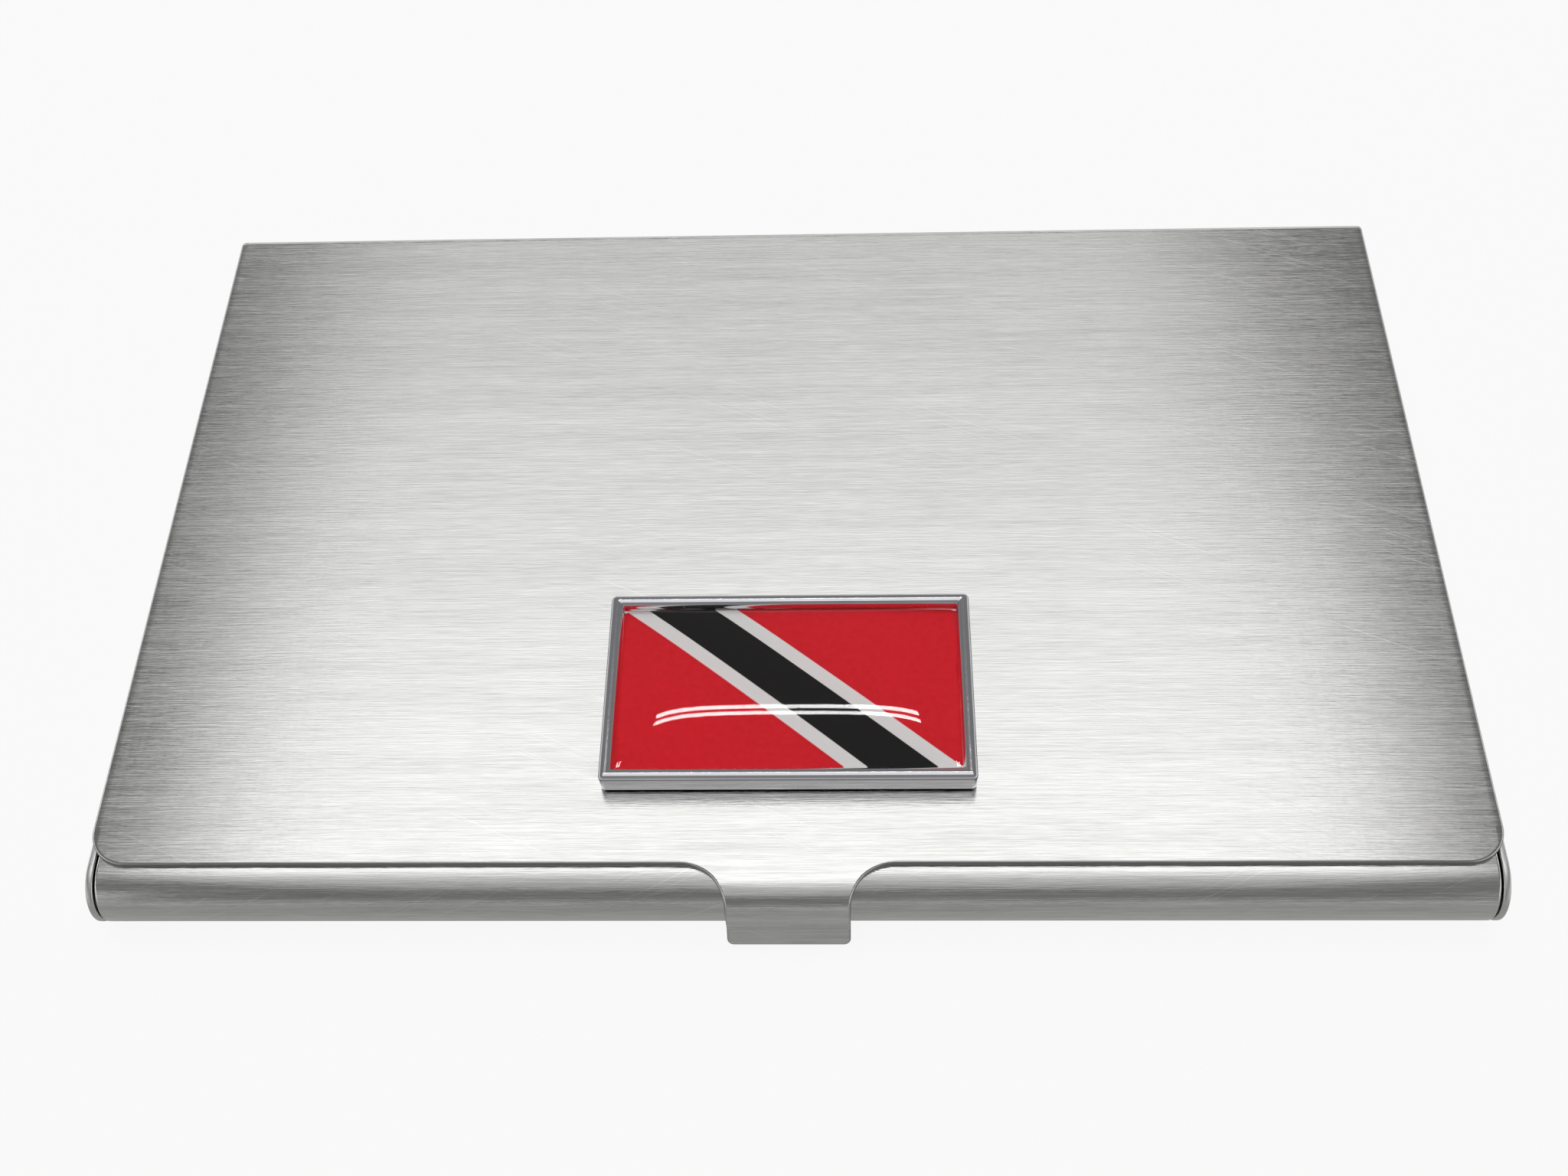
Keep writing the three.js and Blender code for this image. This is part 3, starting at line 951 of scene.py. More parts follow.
@dataclass
class Tray:
    """Steel tray: floor, rolled front edge with its flat lip, and two side walls."""

    places: Places
    sheet: float = 0.5 * MM
    edge_radius: float = 0.15 * MM
    bend: float = 0.9 * MM
    lip: float = 6.0 * MM
    lip_corner: float = 1.0 * MM
    roll_end_gap: float = 0.13 * MM
    corner_relief: float = 0.9 * MM
    curl: float = math.radians(48)
    floor_rear_inset: float = 1.87 * MM
    hinge_gap: float = 0.1 * MM
    foot_corner: float = 0.5 * MM
    hole_radius: float = 0.77 * MM
    open_limit: float = math.radians(100)
    corner_steps: int = 6
    nose_steps: int = 40
    rear_steps: int = 36
    foot_steps: int = 8
    hole_steps: int = 40

    def __post_init__(self) -> None:
        """Works out the folds from the sizes."""
        place = self.places
        self.mid_bend = self.bend - self.sheet / 2
        self.floor_edge = place.half_width - self.bend
        self.bend_length = self.mid_bend * QUARTER
        self.floor_rear = place.hinge[0] - self.floor_rear_inset
        roll = place.nose_radius - self.sheet / 2
        self.roll_length = roll * math.pi
        self.roll_strip = Strip(
            (place.nose_y, self.sheet / 2),
            math.pi,
            (Run(self.roll_length, -math.pi), Run(self.lip)),
        )
        self.wall_strip = Strip(
            (self.floor_edge, self.sheet / 2),
            0.0,
            (Run(self.bend_length, QUARTER), Run(place.height - self.bend)),
        )

    def blank_x(self, z: float) -> float:
        """Blank position across the width of a side wall's point.

        Args:
            z: the point's height in the tray.

        Returns:
            The distance from the blank's middle.
        """
        if z >= self.bend:
            return self.floor_edge + self.bend_length + z - self.bend
        angle = math.asin((self.bend - z) / self.mid_bend)
        return self.floor_edge + self.mid_bend * (QUARTER - angle)

    def side_outline(self) -> list[Point2]:
        """Right side of the blank, from the roll's front lip round to the floor's back edge.

        Returns:
            The points in order.
        """
        place = self.places
        hinge_y, hinge_z = place.hinge
        radius = place.nose_radius
        roll_end = place.half_width - self.sheet - self.roll_end_gap
        lip_end = place.nose_y - self.roll_length - self.lip
        low_z = self.bend - self.mid_bend * math.sin(self.curl)
        curl_x = self.blank_x(low_z)
        low_angle = math.asin((low_z - radius) / radius)
        relief_y = place.nose_y + self.corner_relief
        rear = place.height - hinge_z - self.hinge_gap
        stop = QUARTER - self.open_limit
        foot = self.foot_corner
        offset = rear - foot
        foot_z = low_z + foot
        foot_y = hinge_y + (offset - math.sin(stop) * (foot_z - hinge_z)) / math.cos(stop)
        outline: list[Point2] = []
        corner = self.lip_corner
        outline += arc((roll_end - corner, lip_end + corner), corner, -QUARTER, 0, self.corner_steps)
        outline += [(roll_end, relief_y), (curl_x, relief_y)]
        nose = (place.nose_y, radius)
        wall = arc(nose, radius, -math.pi - low_angle, -3 * QUARTER, self.nose_steps)
        wall += [(hinge_y - foot, place.height)]
        wall += arc((hinge_y, hinge_z), rear, QUARTER, stop, self.rear_steps)
        wall += arc((foot_y, foot_z), foot, stop, -QUARTER, self.foot_steps)
        wall += [(self.floor_rear + self.corner_relief, low_z)]
        outline += [(self.blank_x(z), y) for y, z in wall]
        outline += [(curl_x, self.floor_rear)]
        return outline

    def outline(self) -> list[Point2]:
        """Whole blank, counterclockwise from above."""
        return mirrored(self.side_outline())

    def hole(self, side: int) -> list[Point2]:
        """Rivet hole in one side wall.

        Args:
            side: 1 for the right wall, -1 for the left.

        Returns:
            Its points.
        """
        hinge_y, hinge_z = self.places.hinge
        circle = arc((0, hinge_y), self.hole_radius, 0, 4 * QUARTER, self.hole_steps)[:-1]
        return [(side * (x + self.blank_x(hinge_z)), y) for x, y in circle]

    def fold(self, point: Vector) -> Vector:
        """Carries a point of the blank through the folds.

        Args:
            point: a point of the blank.

        Returns:
            Its place in the tray.
        """
        if point.y < self.places.nose_y and abs(point.x) < self.floor_edge + self.mid_bend / 2:
            y, z = self.roll_strip.at(self.places.nose_y - point.y, -point.z)
            return Vector((point.x, y, z))
        if abs(point.x) <= self.floor_edge:
            return Vector((point.x, point.y, self.sheet / 2 - point.z))
        x, z = self.wall_strip.at(abs(point.x) - self.floor_edge, point.z)
        return Vector((math.copysign(x, point.x), point.y, z))

    def build(self, material: bpy.types.Material) -> bpy.types.Object:
        """Makes the tray.

        Args:
            material: the sheet's finish.

        Returns:
            The piece.
        """
        holes = [self.hole(1), self.hole(-1)]
        blank = SheetBlank(self.outline(), self.sheet, self.edge_radius, holes)
        across = [self.places.nose_y - s for s in self.roll_strip.cuts()]
        bends = [self.floor_edge + s for s in self.wall_strip.cuts()]
        mesh = blank.folded(self.fold, across, both_sides(bends))
        return finished("steel_tray", mesh, material)


# ---- Lid ---------------------------------------------------------------------------------------


@dataclass
class Lid:
    """Flat steel lid with a thumb tab in front and a back wall with two hinge ears."""

    places: Places
    sheet: float = 0.5 * MM
    edge_radius: float = 0.21 * MM
    front_setback: float = 0.25 * MM
    front_corner: float = 2.6 * MM
    back_bend: float = 0.75 * MM
    side_gap: float = 0.1 * MM
    tab_half: float = 4.15 * MM
    tab_fillet: float = 3.0 * MM
    tab_gap: float = 0.1 * MM
    tab_bend: float = 2.05 * MM
    crease_height: float = 2.0 * MM
    crease_radius: float = 0.6 * MM
    lip_end_height: float = 0.7 * MM
    lip_flare: float = math.radians(26)
    lip_corner: float = 0.45 * MM
    ear_bend: float = 0.4 * MM
    ear_radius: float = 2.1 * MM
    ear_crown: float = 1.9 * MM
    hole_radius: float = 0.8 * MM
    wall_sweep_gap: float = 0.1 * MM
    notch_share: float = 0.85
    lip_steps: int = 8
    fillet_steps: int = 20
    corner_steps: int = 24
    notch_steps: int = 10
    eye_steps: int = 48
    hole_steps: int = 40

    def __post_init__(self) -> None:
        """Works out the folds from the sizes."""
        place = self.places
        self.front = place.nose_y - self.front_setback
        self.back = place.lid_back
        middle_height = place.height + self.sheet / 2
        tab_face = place.nose_y - place.nose_radius - self.tab_gap - self.sheet / 2
        self.tab_start = tab_face + self.tab_bend
        tangent = self.crease_radius * math.tan(self.lip_flare / 2)
        drop = self.crease_height - self.lip_end_height
        self.tab_strip = Strip(
            (self.tab_start, middle_height),
            math.pi,
            (
                Run(self.tab_bend * QUARTER, QUARTER),
                Run(middle_height - self.tab_bend - self.crease_height - tangent),
                Run(self.crease_radius * self.lip_flare, -self.lip_flare),
                Run(drop / math.cos(self.lip_flare) - tangent),
            ),
        )
        self.tab_end = self.tab_start - sum(run.length for run in self.tab_strip.runs)
        mid_bend = self.back_bend - self.sheet / 2
        self.bend_start = self.back - self.back_bend
        self.bend_length = mid_bend * QUARTER
        self.back_strip = Strip(
            (self.bend_start, middle_height),
            0.0,
            (Run(self.bend_length, -QUARTER), Run(place.height)),
        )
        outside = place.half_width - self.sheet - self.side_gap
        self.wall_half = outside
        self.ear_start = outside - self.sheet / 2 - self.ear_bend
        self.ear_length = self.ear_bend * QUARTER

    def wall_y(self, z: float) -> float:
        """Blank position of a point of the back wall at height z."""
        top = self.places.height + self.sheet - self.back_bend
        return self.bend_start + self.bend_length + top - z

    def ear_x(self, y: float) -> float:
        """Blank position across the width of an ear's point at depth y."""
        ear_front = self.back - self.sheet / 2 - self.ear_bend
        return self.ear_start + self.ear_length + ear_front - y

    def tab_outline(self) -> list[Point2]:
        """Right side of the tab, from its lip's corner to the front edge's straight.

        Returns:
            The points in order.
        """
        corner = self.lip_corner
        fillet = self.tab_fillet
        low = (self.tab_half - corner, self.tab_end + corner)
        root = (self.tab_half + fillet, self.front - fillet)
        outline = arc(low, corner, -QUARTER, 0, self.lip_steps)
        outline += arc(root, fillet, math.pi, QUARTER, self.fillet_steps)
        return outline

    def side_outline(self) -> list[Point2]:
        """Right side of the blank, from the tab round to the back wall's lower edge.

        Returns:
            The points in order.
        """
        place = self.places
        half = place.half_width
        hinge_y, hinge_z = place.hinge
        sweep = hinge_z - self.wall_sweep_gap
        low_z = hinge_z - math.sqrt(sweep**2 - (self.back - hinge_y) ** 2)
        top_angle = math.asin(self.ear_crown / self.ear_radius)
        low_angle = math.asin((low_z - hinge_z) / self.ear_radius)
        front = self.front_corner
        notch = self.bend_length * self.notch_share
        step = half - self.wall_half
        outline = self.tab_outline()
        front_centre = (half - front, self.front + front)
        outline += arc(front_centre, front, -QUARTER, 0, self.corner_steps)
        corner = arc((0, 0), 1.0, 0, QUARTER, self.notch_steps)
        outline += [(self.wall_half + step * c, self.bend_start + notch * s) for c, s in corner]
        relief_z = hinge_z + self.ear_crown
        outline += [(self.wall_half, self.bend_start + self.bend_length)]
        outline += [(self.ear_start, self.bend_start + self.bend_length + self.edge_radius * 2)]
        outline += [(self.ear_start, self.wall_y(relief_z))]
        eye_end = 2 * math.pi + low_angle
        eye = arc(place.hinge, self.ear_radius, top_angle, eye_end, self.eye_steps)
        outline += [(self.ear_x(y), self.wall_y(z)) for y, z in eye]
        outline += [(self.ear_start, self.wall_y(low_z))]
        return outline

    def outline(self) -> list[Point2]:
        """Whole blank, counterclockwise from above."""
        return mirrored(self.side_outline())

    def hole(self, side: int) -> list[Point2]:
        """Rivet hole in one ear.

        Args:
            side: 1 for the right ear, -1 for the left.

        Returns:
            Its points.
        """
        hinge_y, hinge_z = self.places.hinge
        circle = arc((hinge_y, hinge_z), self.hole_radius, 0, 4 * QUARTER, self.hole_steps)[:-1]
        return [(side * self.ear_x(y), self.wall_y(z)) for y, z in circle]

    def fold(self, point: Vector) -> Vector:
        """Carries a point of the blank through the folds.

        Args:
            point: a point of the blank.

        Returns:
            Its place in the lid.
        """
        if point.y < self.tab_start:
            y, z = self.tab_strip.at(self.tab_start - point.y, point.z)
            return Vector((point.x, y, z))
        if point.y <= self.bend_start:
            return Vector((point.x, point.y, self.places.height + self.sheet / 2 + point.z))
        y, z = self.back_strip.at(point.y - self.bend_start, -point.z)
        beyond = abs(point.x) - self.ear_start
        if beyond <= 0 or point.y <= self.bend_start + self.bend_length:
            return Vector((point.x, y, z))
        ear = Strip(
            (self.ear_start, self.back - self.sheet / 2),
            0.0,
            (Run(self.ear_length, -QUARTER), Run(self.ear_radius)),
        )
        x, y = ear.at(beyond, -point.z)
        return Vector((math.copysign(x, point.x), y, z))

    def build(self, material: bpy.types.Material) -> bpy.types.Object:
        """Makes the lid.

        Args:
            material: the sheet's finish.

        Returns:
            The piece.
        """
        holes = [self.hole(1), self.hole(-1)]
        blank = SheetBlank(self.outline(), self.sheet, self.edge_radius, holes)
        across = [self.tab_start - s for s in self.tab_strip.cuts()]
        across += [self.bend_start + s for s in self.back_strip.cuts()]
        ears = [self.ear_start + s for s in Run(self.ear_length, QUARTER).stations(0.0)]
        mesh = blank.folded(self.fold, across, both_sides(ears))
        return finished("steel_lid", mesh, material)


# ---- Hinge rivets ------------------------------------------------------------------------------


@dataclass
class HingeRivets:
    """Pair of headed rivets that the lid turns on, made by one node tree."""

    places: Places
    head_radius: float = 1.5 * MM
    head_thick: float = 0.5 * MM
    shank_radius: float = 0.75 * MM
    edge: float = 0.12 * MM
    sides: int = 64
    edge_steps: int = 3

    def barrel(
        self, book: NodeBook, radius: Wire, length: Wire, centre: Wire
    ) -> bpy.types.NodeSocket:
        """Cylinder along X.

        Args:
            book: the tree that it is written into.
            radius: its radius.
            length: its length.
            centre: distance of its centre from the middle of the case.

        Returns:
            The geometry's socket.
        """
        sizes = {"Vertices": self.sides, "Radius": radius, "Depth": length}
        upright = book.add(NodeType.CYLINDER, inputs=sizes).outputs["Mesh"]
        laid = {"Translation": book.vector(centre), "Rotation": (0, QUARTER, 0)}
        return book.add(NodeType.TRANSFORM, inputs={0: upright, **laid}).outputs[0]

    def facing_pair(self, shape: ShapeTree) -> bpy.types.NodeSocket:
        """Head and shank of a rivet, set out as a facing pair.

        Args:
            shape: the tree that they are written into.

        Returns:
            The geometry's socket.
        """
        book = shape.book
        span, length, head_radius, head_thick, shank_radius = shape.given
        shank = self.barrel(book, shank_radius, length, span / 2 - length / 2)
        head = self.barrel(book, head_radius, head_thick, span / 2 - length + head_thick / 2)
        rivet = shape.joined(shank, head)
        pair = book.add(NodeType.LINE, inputs={"Count": 2, "Offset": (0, 0, 0)}).outputs[0]
        turn = book.vector(z=book.wire(book.add(NodeType.INDEX)) * math.pi)
        inputs = {"Points": pair, "Instance": rivet, "Rotation": turn}
        return book.add(NodeType.INSTANCES, inputs=inputs).outputs[0]

    def build(self, material: bpy.types.Material) -> bpy.types.Object:
        """Makes both rivets as one piece.

        Args:
            material: their finish.

        Returns:
            The piece.
        """
        low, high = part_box("hinge_rivet_right")
        sizes = {
            "Span": 2 * high.x,
            "Length": high.x - low.x,
            "Head radius": self.head_radius,
            "Head thickness": self.head_thick,
            "Shank radius": self.shank_radius,
        }
        shape = ShapeTree("rivet_pair", sizes)
        holder = shape.holder(self.facing_pair(shape), material)
        rounding = holder.modifiers.new("rounding", "BEVEL")
        rounding.width = self.edge
        rounding.segments = self.edge_steps
        rounding.limit_method = "ANGLE"
        mesh = baked_mesh(holder)
        mesh.transform(Matrix.Translation((0, *self.places.hinge)))
        return finished("hinge_rivets", with_face_weighted_normals(mesh), material)


# ---- Badge -------------------------------------------------------------------------------------


@dataclass
class Badge:
    """Domed badge: mounting tape, chromed dish, printed foil and clear resin."""

    corner: float = 0.4 * MM
    rim: float = 0.9 * MM
    foot_round: float = 0.12 * MM
    corner_steps: int = 8
    foot_steps: int = 4
    rim_steps: int = 24
    tape_steps: int = 6
    smallest_corner: float = 0.06 * MM
    wetting: float = 0.01 * MM
    tape_swell: float = 0.05 * MM
    side_reach: float = 2.0 * MM
    front_reach: float = 2.7 * MM
    dome_edge_drop: float = 0.55 * MM
    dome_columns: int = 180
    dome_rows: int = 96
    dome_merge: float = 0.0005 * MM

    def __post_init__(self) -> None:
        """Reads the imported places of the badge's pieces."""
        self.bezel_low, self.bezel_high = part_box("badge_bezel")
        self.print_low, self.print_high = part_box("badge_print")
        self.dome_low, self.dome_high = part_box("badge_dome")
        self.tape_low, self.tape_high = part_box("badge_adhesive")

    def loop(self, low: Vector, high: Vector, inset: float, z: float) -> list[Vector]:
        """Rectangle loop with round corners, counterclockwise from above.

        Args:
            low: lowest corner of the box that it is drawn in from.
            high: highest corner.
            inset: how far in it lies.
            z: its height.

        Returns:
            The loop's points.
        """
        radius = max(self.corner - inset, self.smallest_corner)
        reach = inset + radius
        corners = (
            (high.x - reach, high.y - reach),
            (low.x + reach, high.y - reach),
            (low.x + reach, low.y + reach),
            (high.x - reach, low.y + reach),
        )
        points: list[Vector] = []
        for quarter, centre in enumerate(corners):
            start = quarter * QUARTER
            turn = arc(centre, radius, start, start + QUARTER, self.corner_steps)
            points += [Vector((x, y, z)) for x, y in turn]
        return points

    @staticmethod
    def skinned(loops: list[list[Vector]]) -> bpy.types.Mesh:
        """Closed mesh through a stack of loops.

        Args:
            loops: the loops from one end to the other, with equal point counts.

        Returns:
            The mesh.
        """
        made = bmesh.new()
        rings = [[made.verts.new(p) for p in loop] for loop in loops]
        count = len(rings[0])
        for lower, upper in zip(rings, rings[1:]):
            for i in range(count):
                j = (i + 1) % count
                made.faces.new((lower[i], lower[j], upper[j], upper[i]))
        made.faces.new(list(reversed(rings[0])))
        made.faces.new(rings[-1])
        bmesh.ops.recalc_face_normals(made, faces=made.faces)
        mesh = bpy.data.meshes.new("skinned")
        made.to_mesh(mesh)
        made.free()
        return with_face_weighted_normals(mesh)

    def bezel(self, material: bpy.types.Material) -> bpy.types.Object:
        """Chromed dish with a half-round rim.

        Args:
            material: its finish.

        Returns:
            The piece.
        """
        low, high = self.bezel_low, self.bezel_high
        crown = self.rim / 2
        foot = self.foot_round
        profile: list[Point2] = [
            (foot - foot * math.sin(a), low.z + foot - foot * math.cos(a))
            for a in spaced(0, QUARTER, self.foot_steps)
        ]
        profile += [
            (crown * (1 - math.cos(a)), high.z - crown + crown * math.sin(a))
            for a in spaced(0, math.pi, self.rim_steps)
        ]
        profile += [(self.rim, self.print_low.z)]
        loops = [self.loop(low, high, inset, z) for inset, z in profile]
        return finished("badge_dish", self.skinned(loops), material)

    def inks(self) -> BandedPrint:
        """The print, laid out over the foil's box."""
        low, high = self.print_low, self.print_high
        return BandedPrint("banded_print", low=(low.x, low.y), high=(high.x, high.y))

    def foil(self, material: bpy.types.Material) -> bpy.types.Object:
        """Printed foil on the dish's floor, its face just inside the resin that wets it.

        Args:
            material: its finish.

        Returns:
            The piece.
        """
        low, high = self.print_low, self.print_high
        bite = self.wetting
        sheet = [self.loop(low, high, bite, low.z), self.loop(low, high, bite, high.z + bite)]
        return finished("badge_foil", self.skinned(sheet), material)

    def tape(self, material: bpy.types.Material) -> bpy.types.Object:
        """Mounting tape, pressed a little wider in the middle of its thickness.

        Args:
            material: its finish.

        Returns:
            The piece.
        """
        low, high = self.tape_low, self.tape_high
        loops = [
            self.loop(low, high, self.tape_swell * (2 * t - 1) ** 2, low.z + (high.z - low.z) * t)
            for t in spaced(0, 1, self.tape_steps)
        ]
        return finished("badge_tape", self.skinned(loops), material)

    def poured(self, shape: ShapeTree) -> bpy.types.NodeSocket:
        """A grid raised as a liquid surface rises from its edges, with walls and underside.

        Args:
            shape: the tree that it is written into.

        Returns:
            The geometry's socket.
        """
        book = shape.book
        width, depth, edge, rise, sideways, forward = shape.given
        counts = {"Vertices X": self.dome_columns, "Vertices Y": self.dome_rows}
        sizes = {"Size X": width, "Size Y": depth, **counts}
        grid = book.add(NodeType.GRID, inputs=sizes).outputs["Mesh"]
        x, y, _ = book.parts(book.add(NodeType.POSITION).outputs[0])
        across = self.meniscus(x, width, sideways)
        along = self.meniscus(y, depth, forward)
        walls = {"Offset": book.vector(z=edge), "Offset Scale": 1.0, "Individual": False}
        body = book.add(NodeType.EXTRUDE, {"mode": "FACES"}, {"Mesh": grid, **walls})
        lift = {
            "Geometry": body.outputs["Mesh"],
            "Selection": body.outputs["Top"],
            "Offset": book.vector(z=across * along * rise),
        }
        swollen = book.add(NodeType.SET_POSITION, inputs=lift).outputs[0]
        under = book.add(NodeType.FLIP_FACES, inputs={"Mesh": grid}).outputs[0]
        merging = {0: shape.joined(swollen, under), "Distance": self.dome_merge}
        return book.add(NodeType.MERGE, inputs=merging).outputs[0]

    @staticmethod
    def meniscus(place: Wire, width: Wire, reach: Wire) -> Wire:
        """Height share of a liquid surface across a width, zero at its edges.

        Args:
            place: distance from the middle.
            width: the whole width.
            reach: how far in the surface curves.

        Returns:
            The share, one in the middle.
        """
        edge = (width / 2 / reach).cosh()
        return (edge - (place / reach).cosh()) / (edge - 1.0)

    def dome(self, material: bpy.types.Material) -> bpy.types.Object:
        """Clear resin poured over the foil.

        Args:
            material: the resin's finish.

        Returns:
            The piece.
        """
        low, high = self.dome_low, self.dome_high
        edge = self.bezel_high.z - self.dome_edge_drop - low.z
        sizes = {
            "Width": high.x - low.x,
            "Depth": high.y - low.y,
            "Edge height": edge,
            "Rise": high.z - low.z - edge,
            "Side reach": self.side_reach,
            "Front reach": self.front_reach,
        }
        shape = ShapeTree("poured_dome", sizes)
        holder = shape.holder(self.poured(shape), material)
        mesh = baked_mesh(holder)
        mesh.transform(Matrix.Translation(((low.x + high.x) / 2, (low.y + high.y) / 2, low.z)))
        mesh.shade_smooth()
        return finished("badge_resin_dome", mesh, material)


# ---- Studio ------------------------------------------------------------------------------------


class Audience(Enum):
    """Which pieces a lamp is kept to, or kept off."""

    SHEET = ("EXCLUDE", ("dish", "dome"))
    DISH = ("INCLUDE", ("dish",))
    POLISHED = ("INCLUDE", ("dish", "dome"))
    INKS = ("INCLUDE", ("foil",))
    STEEL = ("INCLUDE", ("tray", "lid", "rivets"))


@dataclass(frozen=True)
class Lamp:
    """Rectangular lamp, facing straight down unless it is turned."""

    name: str
    place: Point3
    size: tuple[float, float]
    radiance: float
    audience: Audience
    turn: Point3 = (0.0, 0.0, 0.0)

    def build(self, pieces: dict[str, bpy.types.Object]) -> bpy.types.Object:
        """Hangs the lamp.

        Args:
            pieces: the finished pieces by name.

        Returns:
            The lamp.
        """
        data = bpy.data.lights.new(self.name, "AREA")
        data.shape = "RECTANGLE"
        data.size, data.size_y = self.size
        data.energy = self.radiance * math.pi * self.size[0] * self.size[1]
        holder = bpy.data.objects.new(self.name, data)
        holder.location = self.place
        holder.rotation_euler = self.turn
        bpy.context.scene.collection.objects.link(holder)
        state, names = self.audience.value
        heard = bpy.data.collections.new(f"{self.name}_pieces")
        for name in names:
            heard.objects.link(pieces[name])
        holder.light_linking.receiver_collection = heard
        for entry in heard.collection_objects:
            entry.light_linking.link_state = state
        return holder


@dataclass(frozen=True)
class Panel:
    """One strip of the soft bank overhead, by its four sides."""

    front: float
    back: float
    radiance: float
    left: float = -0.254
    right: float = 0.224


@dataclass
class Studio:
    """Floor, lamps, surroundings and camera."""

    floor_size: float = 6.0
    camera_place: Point3 = (3.91 * MM, -71.25 * MM, 108.89 * MM)
    camera_down: float = math.radians(57.26)
    camera_turn: float = math.radians(3.81)
    camera_roll: float = math.radians(-3.65)
    camera_lens: float = 38.66
    camera_sensor: float = 36.0
    camera_near: float = 0.005
    lamp_height: float = 0.5
    bank: tuple[Panel, ...] = (
        Panel(-0.62, -0.42, 0.28),
        Panel(-0.42, -0.28, 0.40),
        Panel(-0.28, -0.18, 0.56),
        Panel(-0.18, -0.10, 0.80),
        Panel(-0.10, -0.03, 1.10),
        Panel(-0.03, 0.20, 1.46),
        Panel(0.20, 0.28, 1.26),
        Panel(0.28, 0.38, 1.00, right=0.22),
        Panel(0.38, 0.46, 0.84, right=0.20),
        Panel(0.46, 0.70, 0.66, left=-0.245, right=0.18),
    )
    rim_panel: Panel = Panel(-0.31, 0.19, 0.7)
    ink_panel: Panel = Panel(-0.25, 0.25, 3.0)
    tube_places: tuple[float, ...] = (0.1645, 0.1855)
    tube_middle: float = -0.021
    tube_width: float = 0.27
    tube_depth: float = 0.0115
    tube_radiance: float = 24.0
    side_angles: tuple[float, ...] = (52.0, 90.0, 130.0, 180.0, 230.0, 270.0, 308.0)
    side_distance: float = 0.9
    side_height: float = 0.28
    side_size: tuple[float, float] = (0.8, 0.45)
    side_radiance: float = 0.7
    ceiling_light: float = 0.2
    front_light: float = 0.04
    horizon_light: float = 0.36
    front_edge: tuple[float, float] = (-0.5, 0.5)
    horizon_edge: tuple[float, float] = (0.12, 0.3)
    sky_white: float = 0.93

    def floor(self) -> bpy.types.Object:
        """Lays the paper floor under the case.

        Returns:
            The floor.
        """
        made = bmesh.new()
        bmesh.ops.create_grid(made, x_segments=1, y_segments=1, size=self.floor_size / 2)
        mesh = bpy.data.meshes.new("floor")
        made.to_mesh(mesh)
        made.free()
        piece = finished("paper_floor", mesh, StudioPaper("studio_paper").material())
        return piece

    def panel(self, name: str, strip: Panel, audience: Audience) -> Lamp:
        """One strip of the bank as a lamp.

        Args:
            name: the lamp's name.
            strip: where it lies and how bright it is.
            audience: the pieces that it lights.

        Returns:
            The lamp, not yet hung.
        """
        middle = ((strip.left + strip.right) / 2, (strip.front + strip.back) / 2)
        place = (*middle, self.lamp_height)
        size = (strip.right - strip.left, strip.back - strip.front)
        return Lamp(name, place, size, strip.radiance, audience)

    def side_panel(self, angle: float) -> Lamp:
        """One upright panel around the case, for its looks from the sides and the back.

        Args:
            angle: its direction, counterclockwise from the front.

        Returns:
            The lamp, not yet hung.
        """
        turn = math.radians(angle)
        far = self.side_distance
        place = (far * math.sin(turn), -far * math.cos(turn), self.side_height)
        name = f"side_panel_{angle:.0f}"
        upright = (QUARTER, 0.0, turn)
        return Lamp(name, place, self.side_size, self.side_radiance, Audience.STEEL, upright)

    def lamps(self, pieces: dict[str, bpy.types.Object]) -> None:
        """Hangs the bank overhead, the badge's own lamps, a pair of thin tubes and side panels.

        Args:
            pieces: the finished pieces by name.
        """
        for number, strip in enumerate(self.bank):
            self.panel(f"soft_panel_{number}", strip, Audience.SHEET).build(pieces)
        self.panel("rim_panel", self.rim_panel, Audience.DISH).build(pieces)
        self.panel("ink_panel", self.ink_panel, Audience.INKS).build(pieces)
        for number, y in enumerate(self.tube_places):
            place = (self.tube_middle, y, self.lamp_height)
            size = (self.tube_width, self.tube_depth)
            tube = Lamp(f"tube_{number}", place, size, self.tube_radiance, Audience.POLISHED)
            tube.build(pieces)
        for angle in self.side_angles:
            self.side_panel(angle).build(pieces)

    def surroundings(self) -> None:
        """Makes the room: dim overhead, paler in front and round the horizon, white to the eye."""
        world = bpy.data.worlds.new("studio_room")
        bpy.context.scene.world = world
        world.use_nodes = True
        tree = world.node_tree
        tree.nodes.clear()
        book = NodeBook(tree)
        _, y, z = book.parts(book.add(NodeType.COORDINATES).outputs["Generated"])
        front = y.below(*self.front_edge)
        low = z.below(*self.horizon_edge)
        paler = self.horizon_light - self.ceiling_light
        level = self.ceiling_light + paler * low + self.front_light * front
        seen = book.wire(book.add(NodeType.LIGHT_PATH), "Is Camera Ray")
        strength = seen * self.sky_white + (1.0 - seen) * level
        glow = {"Color": (1, 1, 1, 1), "Strength": strength}
        light = book.add(NodeType.BACKGROUND, inputs=glow).outputs[0]
        book.link(light, book.add(NodeType.WORLD_OUTPUT), "Surface")

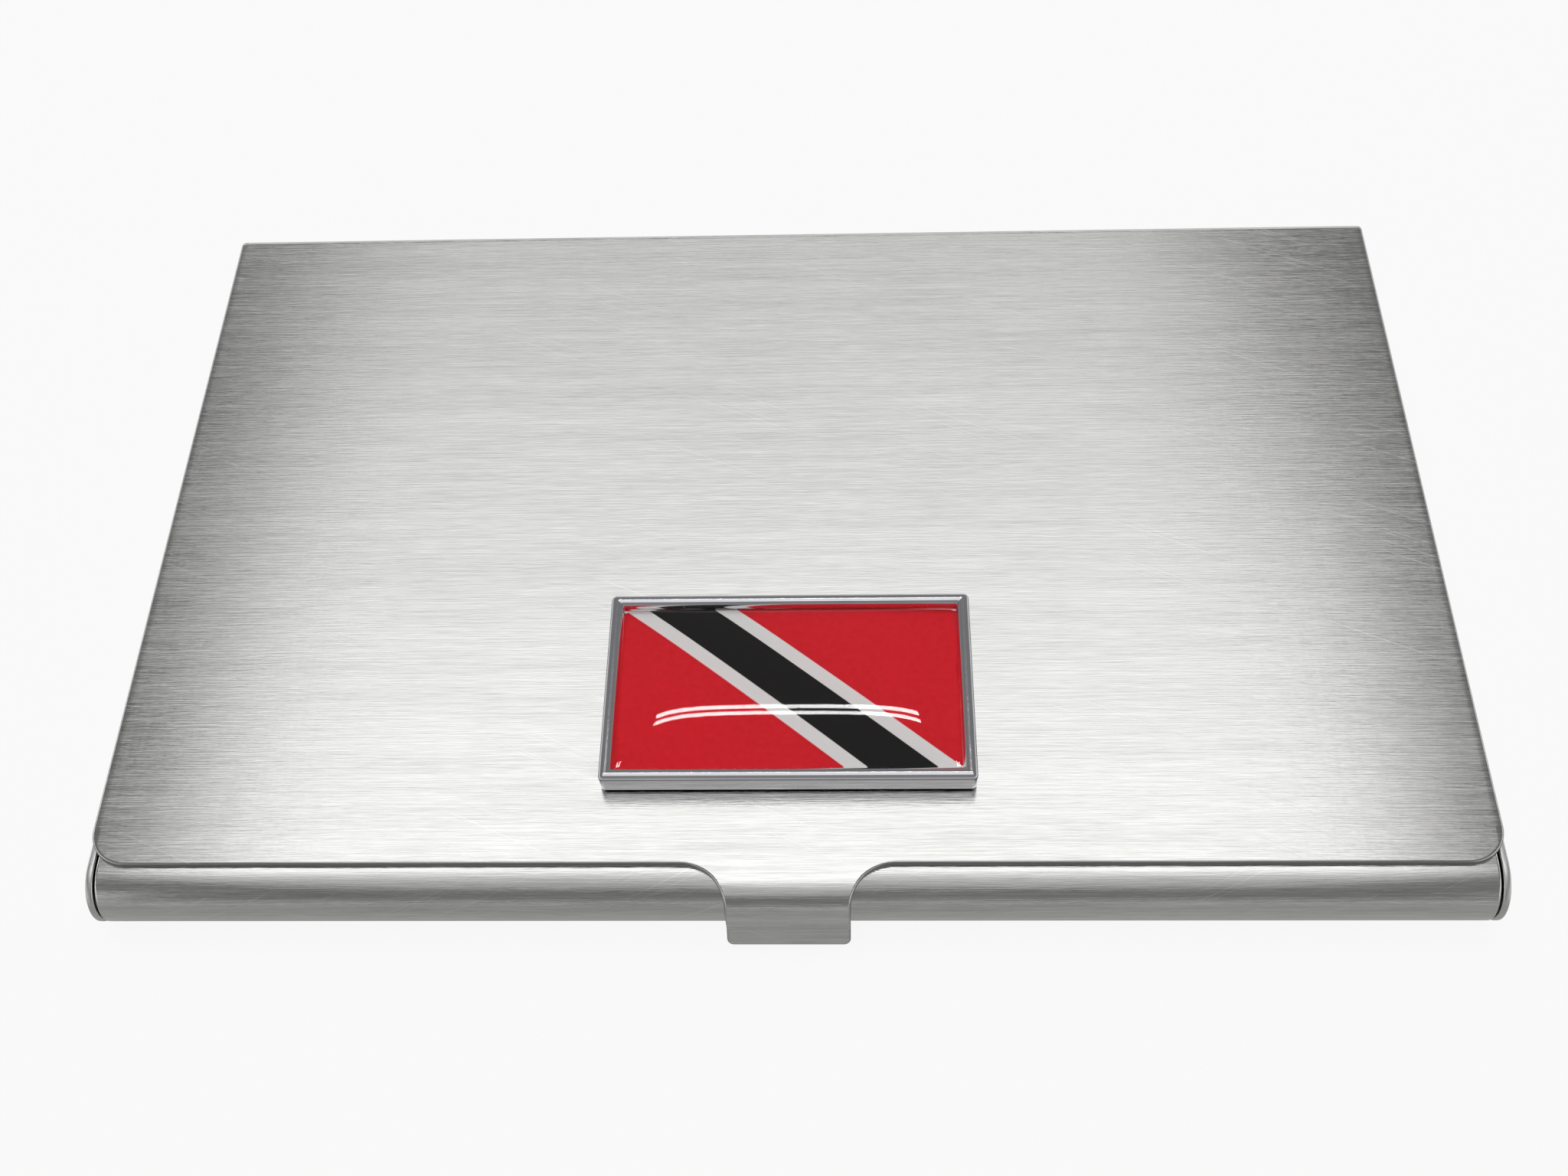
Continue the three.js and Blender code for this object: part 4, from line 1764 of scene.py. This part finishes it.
    def camera(self) -> None:
        """Sets the camera above the front of the case, looking down on it."""
        data = bpy.data.cameras.new("camera")
        data.lens = self.camera_lens
        data.sensor_width = self.camera_sensor
        data.clip_start = self.camera_near
        holder = bpy.data.objects.new("camera", data)
        turn = Matrix.Rotation(self.camera_turn, 4, "Z")
        tilt = Matrix.Rotation(QUARTER - self.camera_down, 4, "X")
        roll = Matrix.Rotation(self.camera_roll, 4, "Z")
        holder.matrix_world = Matrix.Translation(self.camera_place) @ turn @ tilt @ roll
        bpy.context.scene.collection.objects.link(holder)
        bpy.context.scene.camera = holder

    def build(self, pieces: dict[str, bpy.types.Object]) -> None:
        """Sets up the whole studio.

        Args:
            pieces: the finished pieces by name.
        """
        self.floor()
        self.lamps(pieces)
        self.surroundings()
        self.camera()
        bpy.context.scene.view_settings.view_transform = "Standard"


# ---- Assembly ----------------------------------------------------------------------------------


def attach(piece: bpy.types.Object, body: str, slot: str, *nodes: str) -> None:
    """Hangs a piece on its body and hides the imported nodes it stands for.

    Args:
        piece: the finished piece.
        body: the body it moves with.
        slot: the record's material slot; not used.
        nodes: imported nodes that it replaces.
    """
    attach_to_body(piece, body)
    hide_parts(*nodes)
    log.info("%s: %d faces, on %s", piece.name, len(piece.data.polygons), body)


def main() -> None:
    """Builds the case and its studio, in order."""
    logging.basicConfig(level=logging.INFO, format="%(name)s %(message)s")
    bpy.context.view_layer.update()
    places = Places.read()

    tray_finish = BrushedSteel("tray_steel", painted_edge_shade=TRAY_EDGE).material()
    tray = Tray(places).build(tray_finish)
    attach(tray, "tray", "tray_steel", "base_tray")
    rivets = HingeRivets(places).build(TurnedSteel("rivet_steel").material())
    attach(rivets, "tray", "rivet_steel", "hinge_rivet_left", "hinge_rivet_right")
    lid = Lid(places).build(BrushedSteel("lid_steel").material())
    attach(lid, "lid", "lid_steel", "lid_cover")

    badge = Badge()
    tape = badge.tape(FoamTape("foam_tape").material())
    attach(tape, "lid", "adhesive", "badge_adhesive")
    dish = badge.bezel(Chrome("chrome").material())
    attach(dish, "lid", "bezel_chrome", "badge_bezel")
    foil = badge.foil(badge.inks().material())
    attach(foil, "lid", "badge_print", "badge_print")
    dome = badge.dome(ClearResin("clear_resin").material())
    attach(dome, "lid", "badge_resin", "badge_dome")

    pieces = {"tray": tray, "rivets": rivets, "lid": lid, "dish": dish, "foil": foil, "dome": dome}
    Studio().build(pieces)


if __name__ == "__main__":
    main()
